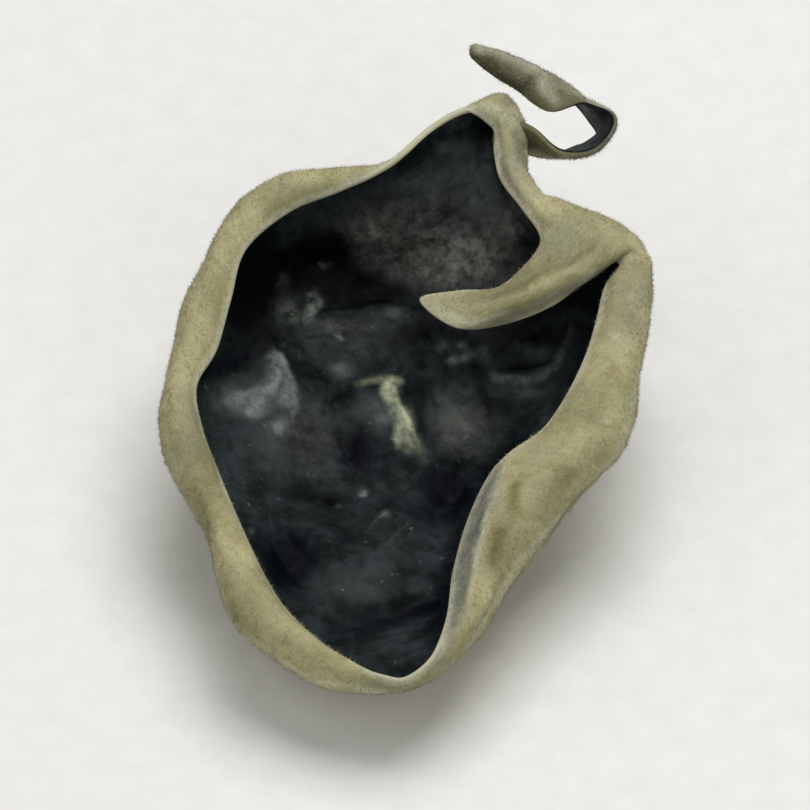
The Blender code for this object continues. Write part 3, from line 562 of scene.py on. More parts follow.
def through(values, where, closed):
    """A smooth curve through a row of values: a cubic between each two, with the slope of its neighbours."""
    values = np.asarray(values, dtype=float)
    count = len(values)
    start = np.floor(where).astype(int)
    if not closed:
        start = np.minimum(start, count - 2)
    part = (where - start).reshape((-1,) + (1,) * (values.ndim - 1))
    picks = [start + shift for shift in (-1, 0, 1, 2)]
    picks = [pick % count if closed else np.clip(pick, 0, count - 1) for pick in picks]
    a, b, c, d = (values[pick] for pick in picks)
    return b + 0.5 * part * (c - a + part * (2 * a - 5 * b + 4 * c - d + part * (3 * (b - c) + d - a)))


def pulled(controls, steps):
    """A smooth curve drawn towards a row of control points: the uniform cubic spline with both ends held."""
    before, after = 2 * controls[:1] - controls[1:2], 2 * controls[-1:] - controls[-2:-1]
    controls = np.concatenate((before, controls, after))
    spans = len(controls) - 3
    where = np.clip(np.asarray(steps) * spans, 0, spans - 1e-9)
    start = where.astype(int)
    part = (where - start).reshape((-1,) + (1,) * (controls.ndim - 1))
    a, b, c, d = (controls[start + shift] for shift in range(4))
    return ((1 - part) ** 3 * a + (3 * part ** 3 - 6 * part ** 2 + 4) * b
            + (1 + 3 * part + 3 * part ** 2 - 3 * part ** 3) * c + part ** 3 * d) / 6


def margin_columns():
    """Crest, two band points and lip for every column, and the wall's profile there.

    A plain band's two points lie on the straight way from crest to lip and are raised by the rise of its
    arch.
    """
    rows = []
    for station in MARGIN:
        points = upright(station)
        if len(points) == 2:
            crest, lip = points
            width = np.linalg.norm(crest - lip)
            rise = np.array((0.0, 0.0, BAND_RISE * width + WIDE_BAND_RISE * ramp(width, *WIDE_BAND)))
            first, second = (crest + (lip - crest) * place for place in BAND_PLACES)
            points = np.array((crest, first + rise, second + rise * BAND_SECOND, lip))
        rows.append(points)
    stations = [row[0] for row in WALL]
    profile = [np.interp(COLUMN_STATIONS, stations, [row[item] for row in WALL], period=len(MARGIN))
               for item in (1, 2)]
    return through(rows, COLUMN_STATIONS, True), np.stack(profile, axis=-1)


def evened(ring):
    """The same closed curve with its points evenly spaced, kept as near as can be to where they were."""
    closed = np.concatenate((ring, ring[:1]))
    share = travelled(closed)
    share /= share[-1]
    even = np.arange(len(ring)) / len(ring)
    even = (even + np.mean(share[:-1] - even)) % 1.0
    return np.stack([np.interp(even, share, closed[:, axis]) for axis in range(3)], axis=-1)


def middle_surface(steps):
    """The middle of the sheet: ring by ring from the hub to the free edge, as an array of rings and columns.

    The wall's rings are shares of the way from the hub to the margin's turn, and climb by an open power of
    the share and a steep one. Three points on a circle make the turn, the band follows, and a spline is drawn
    towards all of them.
    """
    columns, profile = margin_columns()
    crest, band_one, band_two, lip = columns.transpose(1, 0, 2)
    hub = upright(HUB)
    along = np.roll(crest, -1, axis=0) - np.roll(crest, 1, axis=0)
    outward = unit(np.stack((along[:, 1], -along[:, 0], np.zeros(AROUND)), axis=-1))
    up = np.array((0.0, 0.0, 1.0))
    width = length(lip - crest)
    radius = np.clip(ROLL_SHARE * width, *ROLL_RADIUS)
    centre = crest - outward * (radius + BAND_THICKNESS / 2)
    turn = [centre + ROLL_REACH * radius * (outward * np.cos(angle) + up * np.sin(angle))
            for angle in map(np.radians, ROLL_ANGLES + (np.interp(width, *ROLL_TOP),))]
    even = evened(turn[0])
    open_share, power = profile[:, :1], profile[:, 1:]
    rings = [np.repeat(hub[None], AROUND, axis=0)]
    for share in WALL_SHARES:
        reach = even * (1 - share ** 3) + turn[0] * share ** 3
        ring = hub + (reach - hub) * share
        climb = open_share * share ** power + (1 - open_share) * share ** STEEP_POWER
        ring[:, 2] = hub[2] + (reach[:, 2] - hub[2]) * climb[:, 0]
        rings.append(ring)
    rings += turn + [band_one, band_two, lip]
    return pulled(np.array(rings), steps)


def normals(grid):
    """The unit normal of every point of a grid closed round its columns, on the sheet's upper side.

    It is square to the way out and the way round, and then evened out round each ring.
    """
    across = np.roll(grid, -1, axis=1) - np.roll(grid, 1, axis=1)
    outward = np.gradient(grid, axis=0)
    across[0] = across[1]
    normal = np.cross(outward, across)
    normal[0] = normal[1].mean(axis=0)
    normal = unit(normal)
    for _ in range(NORMAL_PASSES):
        normal = (np.roll(normal, 1, axis=1) + 2 * normal + np.roll(normal, -1, axis=1)) / 4
    return unit(normal)


def near_line(across, up, line):
    """Distance from points to a bent line, both seen along the sight line, the share of the line passed, and
    whether the point is on the line's left hand."""
    best = np.full(across.shape, np.inf)
    passed = np.zeros(across.shape)
    left = np.zeros(across.shape, dtype=bool)
    spans = len(line) - 1
    for index, ((x0, v0), (x1, v1)) in enumerate(zip(line[:-1], line[1:])):
        run, climb = x1 - x0, v1 - v0
        share = np.clip(((across - x0) * run + (up - v0) * climb) / (run ** 2 + climb ** 2), 0, 1)
        away = np.hypot(across - x0 - share * run, up - v0 - share * climb)
        nearer = away < best
        passed = np.where(nearer, (index + share) / spans, passed)
        left = np.where(nearer, run * (up - v0) > climb * (across - x0), left)
        best = np.minimum(best, away)
    return best, passed, left


def fold_height(grid):
    """A rounded ridge or groove along each fold: height times the bell curve of the distance over half width.
    """
    across, up = grid[..., 0], sight(grid)
    return sum(height * np.exp(-(near_line(across, up, line)[0] / half_width) ** 2)
               for line, height, half_width in FOLDS)


def wave_height(grid, steps):
    """Slow waves over the whole sheet, each a height times a sine, dying out at the hub and at the free edge.
    """
    total = sum(height * np.sin(2 * math.pi * (across * grid[..., 0] + back * grid[..., 1]) + start)
                for across, back, start, height in WAVES)
    return total * (ramp(steps, 0, WAVE_FADE) * ramp(steps, 1, 1 - WAVE_FADE))[:, None]


def vein_height(grid, steps):
    """Raised veins that run from the stub up the outer wall and fade before the rolled margin.

    Each is its height times the bell curve of the distance from its swaying course over half width.
    """
    spacing = length(np.roll(grid, -1, axis=1) - np.roll(grid, 1, axis=1))[..., 0] / 2 * AROUND / len(MARGIN)
    total = np.zeros(spacing.shape)
    for near, far, first, last, height in VEINS:
        part = ramp(steps, first, last)[:, None]
        sway = VEIN_SWAY * np.sin(VEIN_SWAY_RATE * part + near)
        away = COLUMN_STATIONS - (near + (far - near) * part + sway)
        away = (away + len(MARGIN) / 2) % len(MARGIN) - len(MARGIN) / 2
        fade = ramp(steps, last, last - VEIN_FADE)[:, None]
        total += height * fade * np.exp(-(away * spacing / VEIN_HALF_WIDTH) ** 2)
    return total


def cell_value(cells, seed):
    """A number from 0 to 1 for each whole-number cell, the same each run: its coordinates mixed by odd
    factors."""
    mixed = (cells * np.array((73856093, 19349663, 83492791), dtype=np.int64)).sum(axis=-1) + seed * 7919
    mixed = ((mixed ^ (mixed >> 13)) * 1274126177) & 0xFFFFFFFF
    mixed = ((mixed ^ (mixed >> 16)) * 668265263) & 0xFFFFFFFF
    return (mixed ^ (mixed >> 15)) / 0xFFFFFFFF


def mottle(where, seed, period=None):
    """Smooth noise from -1 to 1: the values of a cell's eight corners, blended by 3t2 - 2t3 each way.

    With a period, the pattern closes on itself after that many cells of the first coordinate.
    """
    cell = np.floor(where).astype(np.int64)
    part = where - cell
    part = part * part * (3 - 2 * part)
    total = np.zeros(where.shape[:-1])
    for corner in itertools.product((0, 1), repeat=3):
        weight = np.prod(np.where(corner, part, 1 - part), axis=-1)
        at = cell + np.array(corner)
        if period:
            at[..., 0] %= period
        total += weight * cell_value(at, seed)
    return 2 * total - 1


def ridged(where, seed, period=None):
    """Noise with narrow crests near 1 and round hollows at 0: one less the size of the smooth noise, squared.
    A small number under the root keeps the crests round."""
    return (1 - np.sqrt(mottle(where, seed, period) ** 2 + CREST_ROUNDING)) ** 2


def lumps(points, table):
    """Noise of several sizes added up, each given as (size, height, seed)."""
    return sum(height * mottle(points / size, seed) for size, height, seed in table)


def drift(points, size, seed):
    """A move of each point by smooth noise of its own each way, from -1 to 1."""
    return np.stack([mottle(points / size, seed + way) for way in range(3)], axis=-1)


def strayed(points):
    """Where points are seen, each moved a little by noise, so that what is drawn there wanders."""
    stray = points + sum(far * drift(points, size, seed) for size, far, seed in STRAY)
    return stray[..., 0], sight(stray)


def crease_height(grid, creases):
    """A ledge, ridge or groove along each line: a bell curve with its own half width on either hand, lowered
    towards the line's ends."""
    across, up = strayed(grid)
    total = np.zeros(across.shape)
    for line, height, left_width, right_width in creases:
        away, passed, left = near_line(across, up, line)
        ends = np.clip(np.minimum(passed, 1 - passed) / CREASE_END, CREASE_LEAST, 1)
        total += height * ends * np.exp(-(away / np.where(left, left_width, right_width)) ** 2)
    return total


def patches(points, table):
    """The sum of soft round patches: strength times the bell curve of the distance over each half size."""
    across, up = points[..., 0], sight(points)
    return sum(strength * np.exp(-((across - x) / wide) ** 2 - ((up - v) / tall) ** 2)
               for x, v, wide, tall, strength in table)


def sheet_places(grid):
    """Station round the margin and millimetres travelled out from the hub, for every point of a grid."""
    return np.repeat(COLUMN_STATIONS[None], len(grid), axis=0), travelled(grid)


def felt_relief(grid, steps):
    """Small relief of the felted side, raised away from the sheet, and how far each point stands on a
    wrinkle.

    It adds up radiating wrinkles, coarse ones and, further out, fine ones between them, then low lumps and
    the band's creases. A wrinkle is the crest of a noise that is long on the way out and narrow round the
    margin.
    """
    station, out = sheet_places(grid)
    swayed = station + WRINKLE_SWAY * mottle(grid / WRINKLE_SWAY_SIZE, 11)
    coarse, fine = (ridged(np.stack((count * swayed, out / long, np.zeros(out.shape)), axis=-1), seed,
                           count * len(MARGIN)) for count, long, seed in WRINKLES)
    on_wall = ramp(steps, *WALL_SPAN)[:, None]
    fine_shown = ramp(out, *FINE_WRINKLES)
    coarse_height, fine_height = (height * (least + (1 - least) * on_wall)
                                  for height, least in WRINKLE_HEIGHTS)
    wrinkles = coarse_height * (coarse - WRINKLE_MEAN) + fine_height * (fine - WRINKLE_MEAN) * fine_shown
    still = (ramp(steps, STUB_FOOT_STEP, STUB_FOOT_STEP + STUB_STILL) * ramp(steps, *FELT_EDGE_SPAN))[:, None]
    on_band = ramp(steps, *BAND_CREASE_SPAN)[:, None]
    creases = crease_height(grid, FELT_CREASES) * on_band
    coarse_stand, fine_stand, crease_stand = WRINKLE_STAND
    stand = coarse * (coarse_stand + (1 - coarse_stand) * on_wall) + fine_stand * fine * fine_shown
    return (wrinkles + lumps(grid, FELT_LUMPS)) * still + creases, stand + crease_stand * creases * on_band


def skin_relief(grid, steps):
    """Small relief of the black skin: a net of leathery wrinkles, which are crests of drifting noise, a finer
    roughness, the creases, and crumbs where the scale lies."""
    folded = grid + NET_DRIFT * drift(grid, NET_DRIFT_SIZE, 21)
    net = sum(height * (ridged(folded / size, seed) - NET_MEAN) for size, height, seed in NET)
    crumbs = CRUMB_HEIGHT * patches(grid, SCALE) * (ridged(grid / CRUMB_SIZE, 28) - CRUMB_MEAN)
    inside, still = ramp(steps, *SKIN_CREASE_SPAN)[:, None], ramp(steps, *SKIN_EDGE_SPAN)[:, None]
    return (net + lumps(grid, SKIN_LUMPS)) * still + (crease_height(grid, CREASES) + crumbs) * inside


def stub_face(under, hub, steps):
    """Turn the middle rings of the lower skin into the torn flat face of the stub, and its side up to the
    wall.

    The face's outline is a ragged share of the ring above, and the side goes straight from one to the other.
    """
    foot = int(np.searchsorted(steps, STUB_FOOT_STEP - 1e-9))
    rim = int(np.searchsorted(steps, STUB_STEP - 1e-9))
    outline = (under[foot] - hub)[:, :2]
    angle = np.arctan2(outline[:, 1], outline[:, 0])
    ragged = 1 + sum(depth * np.sin(waves * angle + start) for waves, start, depth in STUB_RAGS)
    outline = outline * STUB_SHARE * ragged[:, None]
    low = np.concatenate((hub[:2] + outline, np.zeros((len(outline), 1))), axis=1)
    for index in range(rim, foot):
        part = (index - rim) / (foot - rim)
        under[index] = low * (1 - part) + under[foot] * part
        under[index, :, 2] = under[foot, :, 2] * part ** STUB_FLARE
    for index in range(rim):
        under[index, :, :2] = hub[:2] + outline * index / rim
        torn = 0.5 + 0.5 * mottle(under[index] / TORN_SIZE, 31)
        under[index, :, 2] = TORN_HEIGHT * torn * min(1.0, (rim - index) / 3) * min(1.0, index / 3)


def sheet_middle(steps):
    """The middle of the sheet with its folds and waves, its unit normals, and half the thickness, ring by
    ring.

    Inside the cup each ring is then eased: its points move to the mean of their neighbours, over and over.
    """
    middle = middle_surface(steps)
    inside = (ramp(steps, *FOLD_SPAN) * ramp(steps, *HUB_SPAN))[:, None]
    lift = fold_height(middle) * inside + wave_height(middle, steps)
    middle = middle + normals(middle) * lift[..., None]
    for _ in range(EASING_PASSES):
        bend = np.roll(middle, 1, axis=1) - 2 * middle + np.roll(middle, -1, axis=1)
        middle += inside[..., None] * bend / 4
    half = np.interp(steps, THICKNESS_STEPS, THICKNESSES)[:, None] / 2
    return middle, normals(middle), half


def black_skin(steps):
    """The upper skin, as rings and columns of points, and the rings of the sheet's rounded free edge."""
    middle, normal, half = sheet_middle(steps)
    relief = np.maximum(skin_relief(middle, steps), -RELIEF_DEPTH * half)
    skin = middle + normal * (half + relief)[..., None]
    edge_way = unit(middle[-1] - middle[-2])
    edge = [middle[-1] + EDGE_THICKNESS / 2 * (edge_way * math.cos(angle) + normal[-1] * math.sin(angle))
            for angle in map(math.radians, EDGE_ANGLES)]
    return skin, edge


def felted_skin(steps):
    """The lower skin with its veins, wrinkles and stub, and how far each point stands on a wrinkle."""
    middle, normal, half = sheet_middle(steps)
    felt, wrinkle = felt_relief(middle, steps)
    relief = np.maximum(vein_height(middle, steps) + felt, -RELIEF_DEPTH * half)
    skin = middle - normal * (half + relief)[..., None]
    stub_face(skin, upright(HUB), steps)
    return skin, wrinkle


def from_sight(vectors):
    """Turn directions given as (across, up the sight line, towards the eye) into x, y, z."""
    vectors = np.asarray(vectors, dtype=float)
    across, up, near = vectors[..., 0], vectors[..., 1], vectors[..., 2]
    lean, fall = math.sin(SIGHT_LINE), math.cos(SIGHT_LINE)
    return np.stack((across, up * lean - near * fall, up * fall + near * lean), axis=-1)


def strip_rings():
    """Rings round the curled strip: a rounded flat section, bent more and more, carried along the path.

    A section point is (cos t, sin t) with each raised to one half, which makes a rectangle with round
    corners. The section shrinks to a point over the last third of a millimetre at both ends.
    """
    even = np.linspace(0, 1, STRIP_ALONG)
    eased = 0.5 - 0.5 * np.cos(math.pi * even)
    where = (STRIP_EASED * eased + (1 - STRIP_EASED) * even) * (len(STRIP_PATH) - 1)
    path = through(upright(STRIP_PATH), where, False)
    half_width = through(STRIP_HALF_WIDTH, where, False)[:, None]
    bend = np.maximum(through(STRIP_BEND, where, False), LEAST_BEND)[:, None]
    tangent = unit(np.gradient(path, axis=0))
    width_way = through(from_sight(STRIP_WIDTH_WAY), where, False)
    width_way = unit(width_way - tangent * (width_way * tangent).sum(axis=-1, keepdims=True))
    felt_way = np.cross(tangent, width_way)
    way = travelled(path)
    to_end = np.minimum(way, way[-1] - way)[:, None]
    close = np.sqrt(1 - (1 - np.clip(to_end / STRIP_END, 0.02, 1)) ** 2)
    turn = np.linspace(0, 2 * math.pi, STRIP_ROUND, endpoint=False)[None]
    side, rise = (np.sign(wave) * np.abs(wave) ** 0.5 for wave in (np.cos(turn), np.sin(turn)))
    angle = bend * half_width * side * close
    arm = 1 / bend + rise * close * STRIP_THICKNESS / 2
    rings = (path[:, None] + width_way[:, None] * (arm * np.sin(angle))[..., None]
             + felt_way[:, None] * (arm * np.cos(angle) - 1 / bend)[..., None])
    return rings - STRIP_LUMP * drift(rings, STRIP_LUMP_SIZE, 51), np.repeat(rise, STRIP_ALONG, axis=0)


def ring_steps(spans):
    """The way out from the hub, from 0 to 1, at every ring: each span of the table divided evenly."""
    starts = ((0.0, 0),) + spans[:-1]
    return np.concatenate([[0.0]] + [np.linspace(start, end, count + 1)[1:]
                                     for (start, _), (end, count) in zip(starts, spans)])


def flat(rings):
    """One point of the first ring, every point of the others, one point of the last, as a list of rows."""
    return np.concatenate((rings[0][:1], np.concatenate(rings[1:-1]), rings[-1][:1]))


def whole(upper, edge, under):
    """The sheet's rings as one list of rows: out on the black skin, round the free edge, back in on the felt.
    """
    return flat(list(upper) + list(edge) + list(under[::-1]))


def sheet_faces(rings, around, first=0):
    """Faces of a skin closed round its columns, with one point at either end: a fan, rows of quads, a fan.
    Its points are counted from first."""
    column = np.arange(around)
    after = (column + 1) % around
    fan = np.stack((np.zeros_like(column), 1 + column, 1 + after), axis=-1)
    low = 1 + np.arange(rings - 1)[:, None] * around
    quads = np.stack((low + column, low + around + column, low + around + after, low + after), axis=-1)
    last = 1 + (rings - 1) * around
    close = np.stack((last + column, np.full_like(column, last + around), last + after), axis=-1)
    return (fan + first).tolist() + (quads.reshape(-1, 4) + first).tolist() + (close + first).tolist()


def linear(code):
    """The linear colour of an sRGB hex code, as red, green, blue and 1."""
    parts = [int(code[start:start + 2], 16) / 255 for start in (0, 2, 4)]
    return [part / 12.92 if part <= 0.04045 else ((part + 0.055) / 1.055) ** 2.4 for part in parts] + [1.0]


def add(tree, kind, inputs=(), **settings):
    """One node with its settings and its inputs, each a value or another node's output."""
    made = tree.nodes.new(kind)
    for name, value in settings.items():
        setattr(made, name, value)
    for socket, value in dict(inputs).items():
        if isinstance(value, bpy.types.NodeSocket):
            tree.links.new(value, made.inputs[socket])
        else:
            made.inputs[socket].default_value = value
    return made


def new_material(name, marks, patterns):
    """A material that has no shader yet, its node tree, and by name what its colours read.

    That is the piece's own marks, and noise given as (size, detail, roughness), whose largest lumps are about
    size millimetres across. It reads Object coordinates, or the piece's own attribute where a fourth item
    names one.
    """
    material = bpy.data.materials.new(name)
    material.use_nodes = True
    tree = material.node_tree
    tree.nodes.clear()
    place = add(tree, "ShaderNodeTexCoord").outputs["Object"]
    place = add(tree, "ShaderNodeVectorMath", {0: place, "Scale": 1 / MM}, operation="SCALE").outputs[0]
    reads = {mark: add(tree, "ShaderNodeAttribute", attribute_name=mark).outputs["Fac"] for mark in marks}
    for pattern, (size, detail, roughness, *own) in patterns.items():
        at = add(tree, "ShaderNodeAttribute", attribute_name=own[0]).outputs["Vector"] if own else place
        sockets = {"Vector": at, "Scale": 1 / size, "Detail": detail, "Roughness": roughness}
        reads[pattern] = add(tree, "ShaderNodeTexNoise", sockets).outputs["Fac"]
    return material, tree, reads


def laid(tree, reads, colour, layers):
    """The colour with others laid over it, one after another, each by a share from 0 to 1.

    A layer is (colour, mark, pattern, low, high, least, most). Its share is its mark, or its pattern mapped
    from low..high to least..most and held at both ends, or the two multiplied.
    """
    for over, mark, pattern, *held in layers:
        share = reads.get(mark)
        if pattern:
            sockets = dict(zip(("From Min", "From Max", "To Min", "To Max"), held), Value=reads[pattern])
            mapped = add(tree, "ShaderNodeMapRange", sockets).outputs[0]
            if mark:
                mapped = add(tree, "ShaderNodeMath", {0: share, 1: mapped}, operation="MULTIPLY").outputs[0]
            share = mapped
        over = linear(over) if isinstance(over, str) else over
        colour = add(tree, "ShaderNodeMix", {0: share, 6: colour, 7: over}, data_type="RGBA").outputs[2]
    return colour


def finish(tree, sockets, height=None, strength=0.0):
    """Join a Principled shader with these sockets to the output, with bumps of a height if there is one."""
    if height is not None:
        bump = {"Height": height, "Distance": BUMP_DEPTH * MM, "Strength": strength}
        sockets = {**sockets, "Normal": add(tree, "ShaderNodeBump", bump).outputs[0]}
    shader = add(tree, "ShaderNodeBsdfPrincipled", sockets)
    add(tree, "ShaderNodeOutputMaterial", {"Surface": shader.outputs[0]})


def felt_material():
    """Dried tomentum: short dense hair matted to the leathery back of the fruit body. It is quite matt, khaki
    with olive and brown mottles, and paler where hair tips stand up. Some brown and grey marks and all of the
    shade mark are painted shade, and some pale lines are painted highlights. The nap's own noise is drawn
    coarser than hairs are, so that it shows."""
    material, tree, reads = new_material(
        "dried_tomentum_felt", ("rubbed_and_shaded", "greyed_and_shaded", "shade", "pale"),
        {"broad": (4.5, 3, 0.55), "patch": (1.5, 5, 0.65), "streak": (0.45, 4, 0.6, "grain"),
         "nap": (0.14, 3, 0.7)})
    grey = laid(tree, reads, linear("70766f"), (("8f8e84", None, "patch", 0.42, 0.58, 0, 1),))
    colour = laid(tree, reads, linear("96936d"), (
        ("b5ae85", None, "broad", 0.38, 0.62, 0, 1),
        ("837a4c", None, "patch", 0.48, 0.66, 0, 0.5),
        ("a5a388", None, "patch", 0.3, 0.44, 0.45, 0),
        ("6f6743", None, "streak", 0.52, 0.75, 0, 0.3),
        # Olive-brown where rubbed, and painted shade in the lip's fold, on the right band's top and the left
        # rim.
        ("655c33", "rubbed_and_shaded", None),
        # Grey of dust, and painted shade.
        (grey, "greyed_and_shaded", None),
        ("3a3b28", "shade", None),
        # Pale edges, partly painted highlights.
        ("c0c0aa", "pale", None),
        ("c0b892", None, "nap", 0.45, 0.75, 0, 0.24),
    ))
    height = add(tree, "ShaderNodeMath", {0: reads["streak"], 1: 1.4, 2: reads["nap"]},
                 operation="MULTIPLY_ADD")
    finish(tree, {"Base Color": colour, "Roughness": 0.95, "Specular IOR Level": 0.15, "Sheen Weight": 0.15,
                  "Sheen Roughness": 0.35, "Sheen Tint": linear("e6dfc0")}, height.outputs[0], 0.8)
    return material


def skin_material():
    """Dried hymenium: the smooth jelly of the upper side shrunk to a black, leathery, faintly glossy skin,
    with a grey bloom that makes it dull where it lies. Some of the bloom and the streaks are painted
    highlights, and the blue-black and green-black marks are painted shade."""
    material, tree, reads = new_material(
        "dried_black_hymenium", ("bloom_and_highlight", "dust", "scale", "blue_black_and_painted_shade", "painted_green_shade", "streak", "scar"),
        {"broad": (2.6, 3, 0.6), "fine": (0.9, 4, 0.6), "grit": (0.6, 3, 0.65)})
    colour = laid(tree, reads, linear("101416"), (
        ("2a3132", None, "broad", 0.38, 0.62, 0, 1),
        ("0b0e10", None, "fine", 0.5, 0.64, 0, 0.6),
        # Grey bloom, and painted highlights where its patches stand for light on the skin.
        ("6e7775", "bloom_and_highlight", "fine", 0.4, 0.58, 0.45, 1),
        ("605f59", "dust", "grit", 0.4, 0.58, 0.35, 1),
        ("22241f", "dust", "fine", 0.5, 0.66, 0, 0.6),
        ("7d7d76", "dust", "fine", 0.3, 0.42, 0.45, 0),
        ("7d8580", None, "grit", 0.66, 0.74, 0, 0.35),
        # Painted shade, green-black.
        ("030503", "painted_green_shade", None),
        # Grey streaks, some of them painted highlights on lit edges and folds.
        ("949c96", "streak", "grit", 0.4, 0.58, 0.35, 1),
        # Painted shade, blue-black, with some of the skin's own blue-black.
        ("03060b", "blue_black_and_painted_shade", None),
        ("7c8274", "scale", "fine", 0.42, 0.58, 0.1, 1),
        ("c0c7a5", "scar", "grit", 0.38, 0.58, 0.5, 1),
    ))
    roughness = add(tree, "ShaderNodeMapRange", {"Value": reads["fine"], "From Min": 0.3, "From Max": 0.7,
                                                 "To Min": 0.5, "To Max": 0.7})
    height = add(tree, "ShaderNodeMath", {0: reads["fine"], 1: 2.0, 2: reads["grit"]},
                 operation="MULTIPLY_ADD")
    finish(tree, {"Base Color": colour, "Roughness": roughness.outputs[0], "Specular IOR Level": 0.07},
           height.outputs[0], 0.9)
    return material


def patch_mark(points, table, seed):
    """How strongly a table's patches show at each point, broken up by noise, from 0 to 1."""
    broken = 0.85 + lumps(points, ((1.3, 0.35, seed), (0.6, 0.25, seed + 1)))
    return np.clip(patches(points, table) * broken, 0, 1)


def line_mark(points, table, seed):
    """How strongly a table's lines show: the strength on each line, fading on either hand as 3t2 - 2t3, and
    broken up by noise."""
    across, up = strayed(points)
    total = np.zeros(across.shape)
    for line, strength, left_fade, right_fade in table:
        away, passed, left = near_line(across, up, line)
        near = np.clip(1 - away / np.where(left, left_fade, right_fade), 0, 1)
        shown = np.interp(passed, np.linspace(0, 1, len(strength)), strength) * near * near * (3 - 2 * near)
        total = np.maximum(total, shown)
    return total * (0.84 + lumps(points, ((0.9, 0.16, seed), (0.45, 0.14, seed + 1))))


def skin_marks(points, steps):
    """The black skin's marks by name, which fade out where the band begins."""
    marks = {}
    # The bloom and the streaks also paint highlights; the blue and green marks and the hollows paint shade.
    for name, kind, table, seed in (("bloom_and_highlight", patch_mark, BLOOM_AND_HIGHLIGHTS, 44), ("dust", patch_mark, DUST, 50),
                                    ("scale", patch_mark, SCALE, 45), ("blue_black_and_painted_shade", patch_mark, BLUE_BLACK_AND_SHADE, 46),
                                    ("painted_green_shade", patch_mark, PAINTED_GREEN_SHADE, 47), ("blue_black_and_painted_shade", line_mark, HOLLOW_SHADE_LINES, 68),
                                    ("streak", line_mark, STREAKS_AND_HIGHLIGHTS, 54), ("scar", line_mark, SCARS, 43)):
        shown = kind(points, table, seed) * ramp(steps, *SKIN_MARK_SPAN)[:, None]
        marks[name] = np.maximum(marks.get(name, 0.0), shown)
    return marks


def felt_marks(points):
    """The felt's marks by name, drawn on every point that is seen where a table has them: wear and dust,
    with painted shade and painted highlights among them.
    """
    marks = {name: np.maximum(patch_mark(points, table, seed), line_mark(points, lines, lines_seed))
             for name, table, seed, lines, lines_seed in (("rubbed_and_shaded", RUBBED_AND_SHADED, 48, RUBBED_AND_SHADED_LINES, 70),
                                                          ("greyed_and_shaded", GREYED_AND_SHADED, 49, GREYED_AND_SHADED_LINES, 56))}
    return {**marks, "shade": line_mark(points, SHADED_LINES, 72), "pale": line_mark(points, PALE_AND_HIGHLIGHT_LINES, 58)}


def new_mesh(name, points, faces, *materials):
    """A smooth mesh from points in millimetres, with its materials."""
    mesh = bpy.data.meshes.new(name)
    mesh.from_pydata(((points + ROW_SHIFT) * MM).tolist(), [], faces)
    for material in materials:
        mesh.materials.append(material)
    mesh.polygons.foreach_set("use_smooth", np.ones(len(faces), dtype=bool))
    return mesh


def put_piece(mesh, marks):
    """Give a mesh its marks, one value a point, and set it in the scene in place of the CAD sheet."""
    for name, values in marks.items():
        layer = mesh.attributes.new(name, "FLOAT", "POINT")
        layer.data.foreach_set("value", np.ascontiguousarray(values, dtype=np.float32).ravel())
    mesh.update()
    piece = bpy.data.objects.new(mesh.name, mesh)
    bpy.context.scene.collection.objects.link(piece)
    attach(piece, "root")
    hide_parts("wood_ear")


def nap_spikes(grid, weight, count, draw):
    """Hairs on a grid closed round its columns, as (roots, points, normals): closed three-sided spikes, four
    points each.

    A root is a random place of a cell that is picked by area times weight. The tip is the root moved along
    the cell's normal, along the way out and a little any way. The base points stand round the root, a third
    of a turn apart.
    """
    corner = grid[:-1]
    side, way = np.roll(grid, -1, axis=1)[:-1] - corner, grid[1:] - corner
    normal = np.cross(side, way)
    share = np.cumsum((length(normal)[..., 0] * weight).ravel())
    cell = np.searchsorted(share, draw.random(count) * share[-1])
    corner, side, way, normal = (part.reshape(-1, 3)[cell] for part in (corner, side, way, normal))
    root = corner + side * draw.random((count, 1)) + way * draw.random((count, 1))
    lean = unit(way) * NAP_LEAN[0] * draw.random((count, 1)) + NAP_LEAN[1] * draw.normal(size=(count, 3))
    normal = unit(normal)
    along = unit(normal + lean)
    first = unit(np.cross(along, side))
    second = np.cross(along, first)
    turn = np.radians((0, 120, 240))[:, None, None]
    base = root + NAP_RADIUS * (first * np.cos(turn) + second * np.sin(turn) - along)
    tip = root + along * draw.uniform(*NAP_LENGTH, size=(count, 1))
    points = np.concatenate((base, tip[None])).transpose(1, 0, 2)
    points[..., 2] = np.maximum(points[..., 2], FLOOR_GAP)
    return root, points, unit(normal + NAP_SHADING * along)


def nap(under, under_steps, strip, rise, material):
    """The felt's nap: short hairs over the outer side, the rolled band and the strip. They are too fine to be
    seen one by one, so they are shaded nearly as the skin below them."""
    draw = np.random.default_rng(5)
    on_sheet = 1.0 + (NAP_ON_BAND - 1) * ramp(under_steps[:-1], *BAND_SPAN)
    on_sheet = np.where(under_steps[:-1] < STUB_FOOT_STEP, 0.0, on_sheet)[:, None]
    on_strip = np.where(rise[:-1] > FELT_SIDE, NAP_ON_BAND, 0.0)
    hairs = (nap_spikes(under, on_sheet, NAP_HAIRS - STRIP_HAIRS, draw),
             nap_spikes(strip, on_strip, STRIP_HAIRS, draw))
    roots, points, normal = (np.concatenate(part) for part in zip(*hairs))
    first = 4 * np.arange(len(roots))[:, None, None]
    faces = (first + np.array(((0, 2, 1), (0, 1, 3), (1, 2, 3), (2, 0, 3)))).reshape(-1, 3)
    mesh = new_mesh("felt_nap", points.reshape(-1, 3), faces.tolist(), material)
    mesh.normals_split_custom_set_from_vertices(np.repeat(normal, 4, axis=0).tolist())
    marks = felt_marks(roots)
    marks["shade"][-STRIP_HAIRS:] += STRIP_SHADE
    marks["pale"] = NAP_PALE * draw.random(len(roots)) * (1 - NAP_SHADED * marks["shade"])
    put_piece(mesh, {name: np.repeat(values, 4) for name, values in marks.items()})


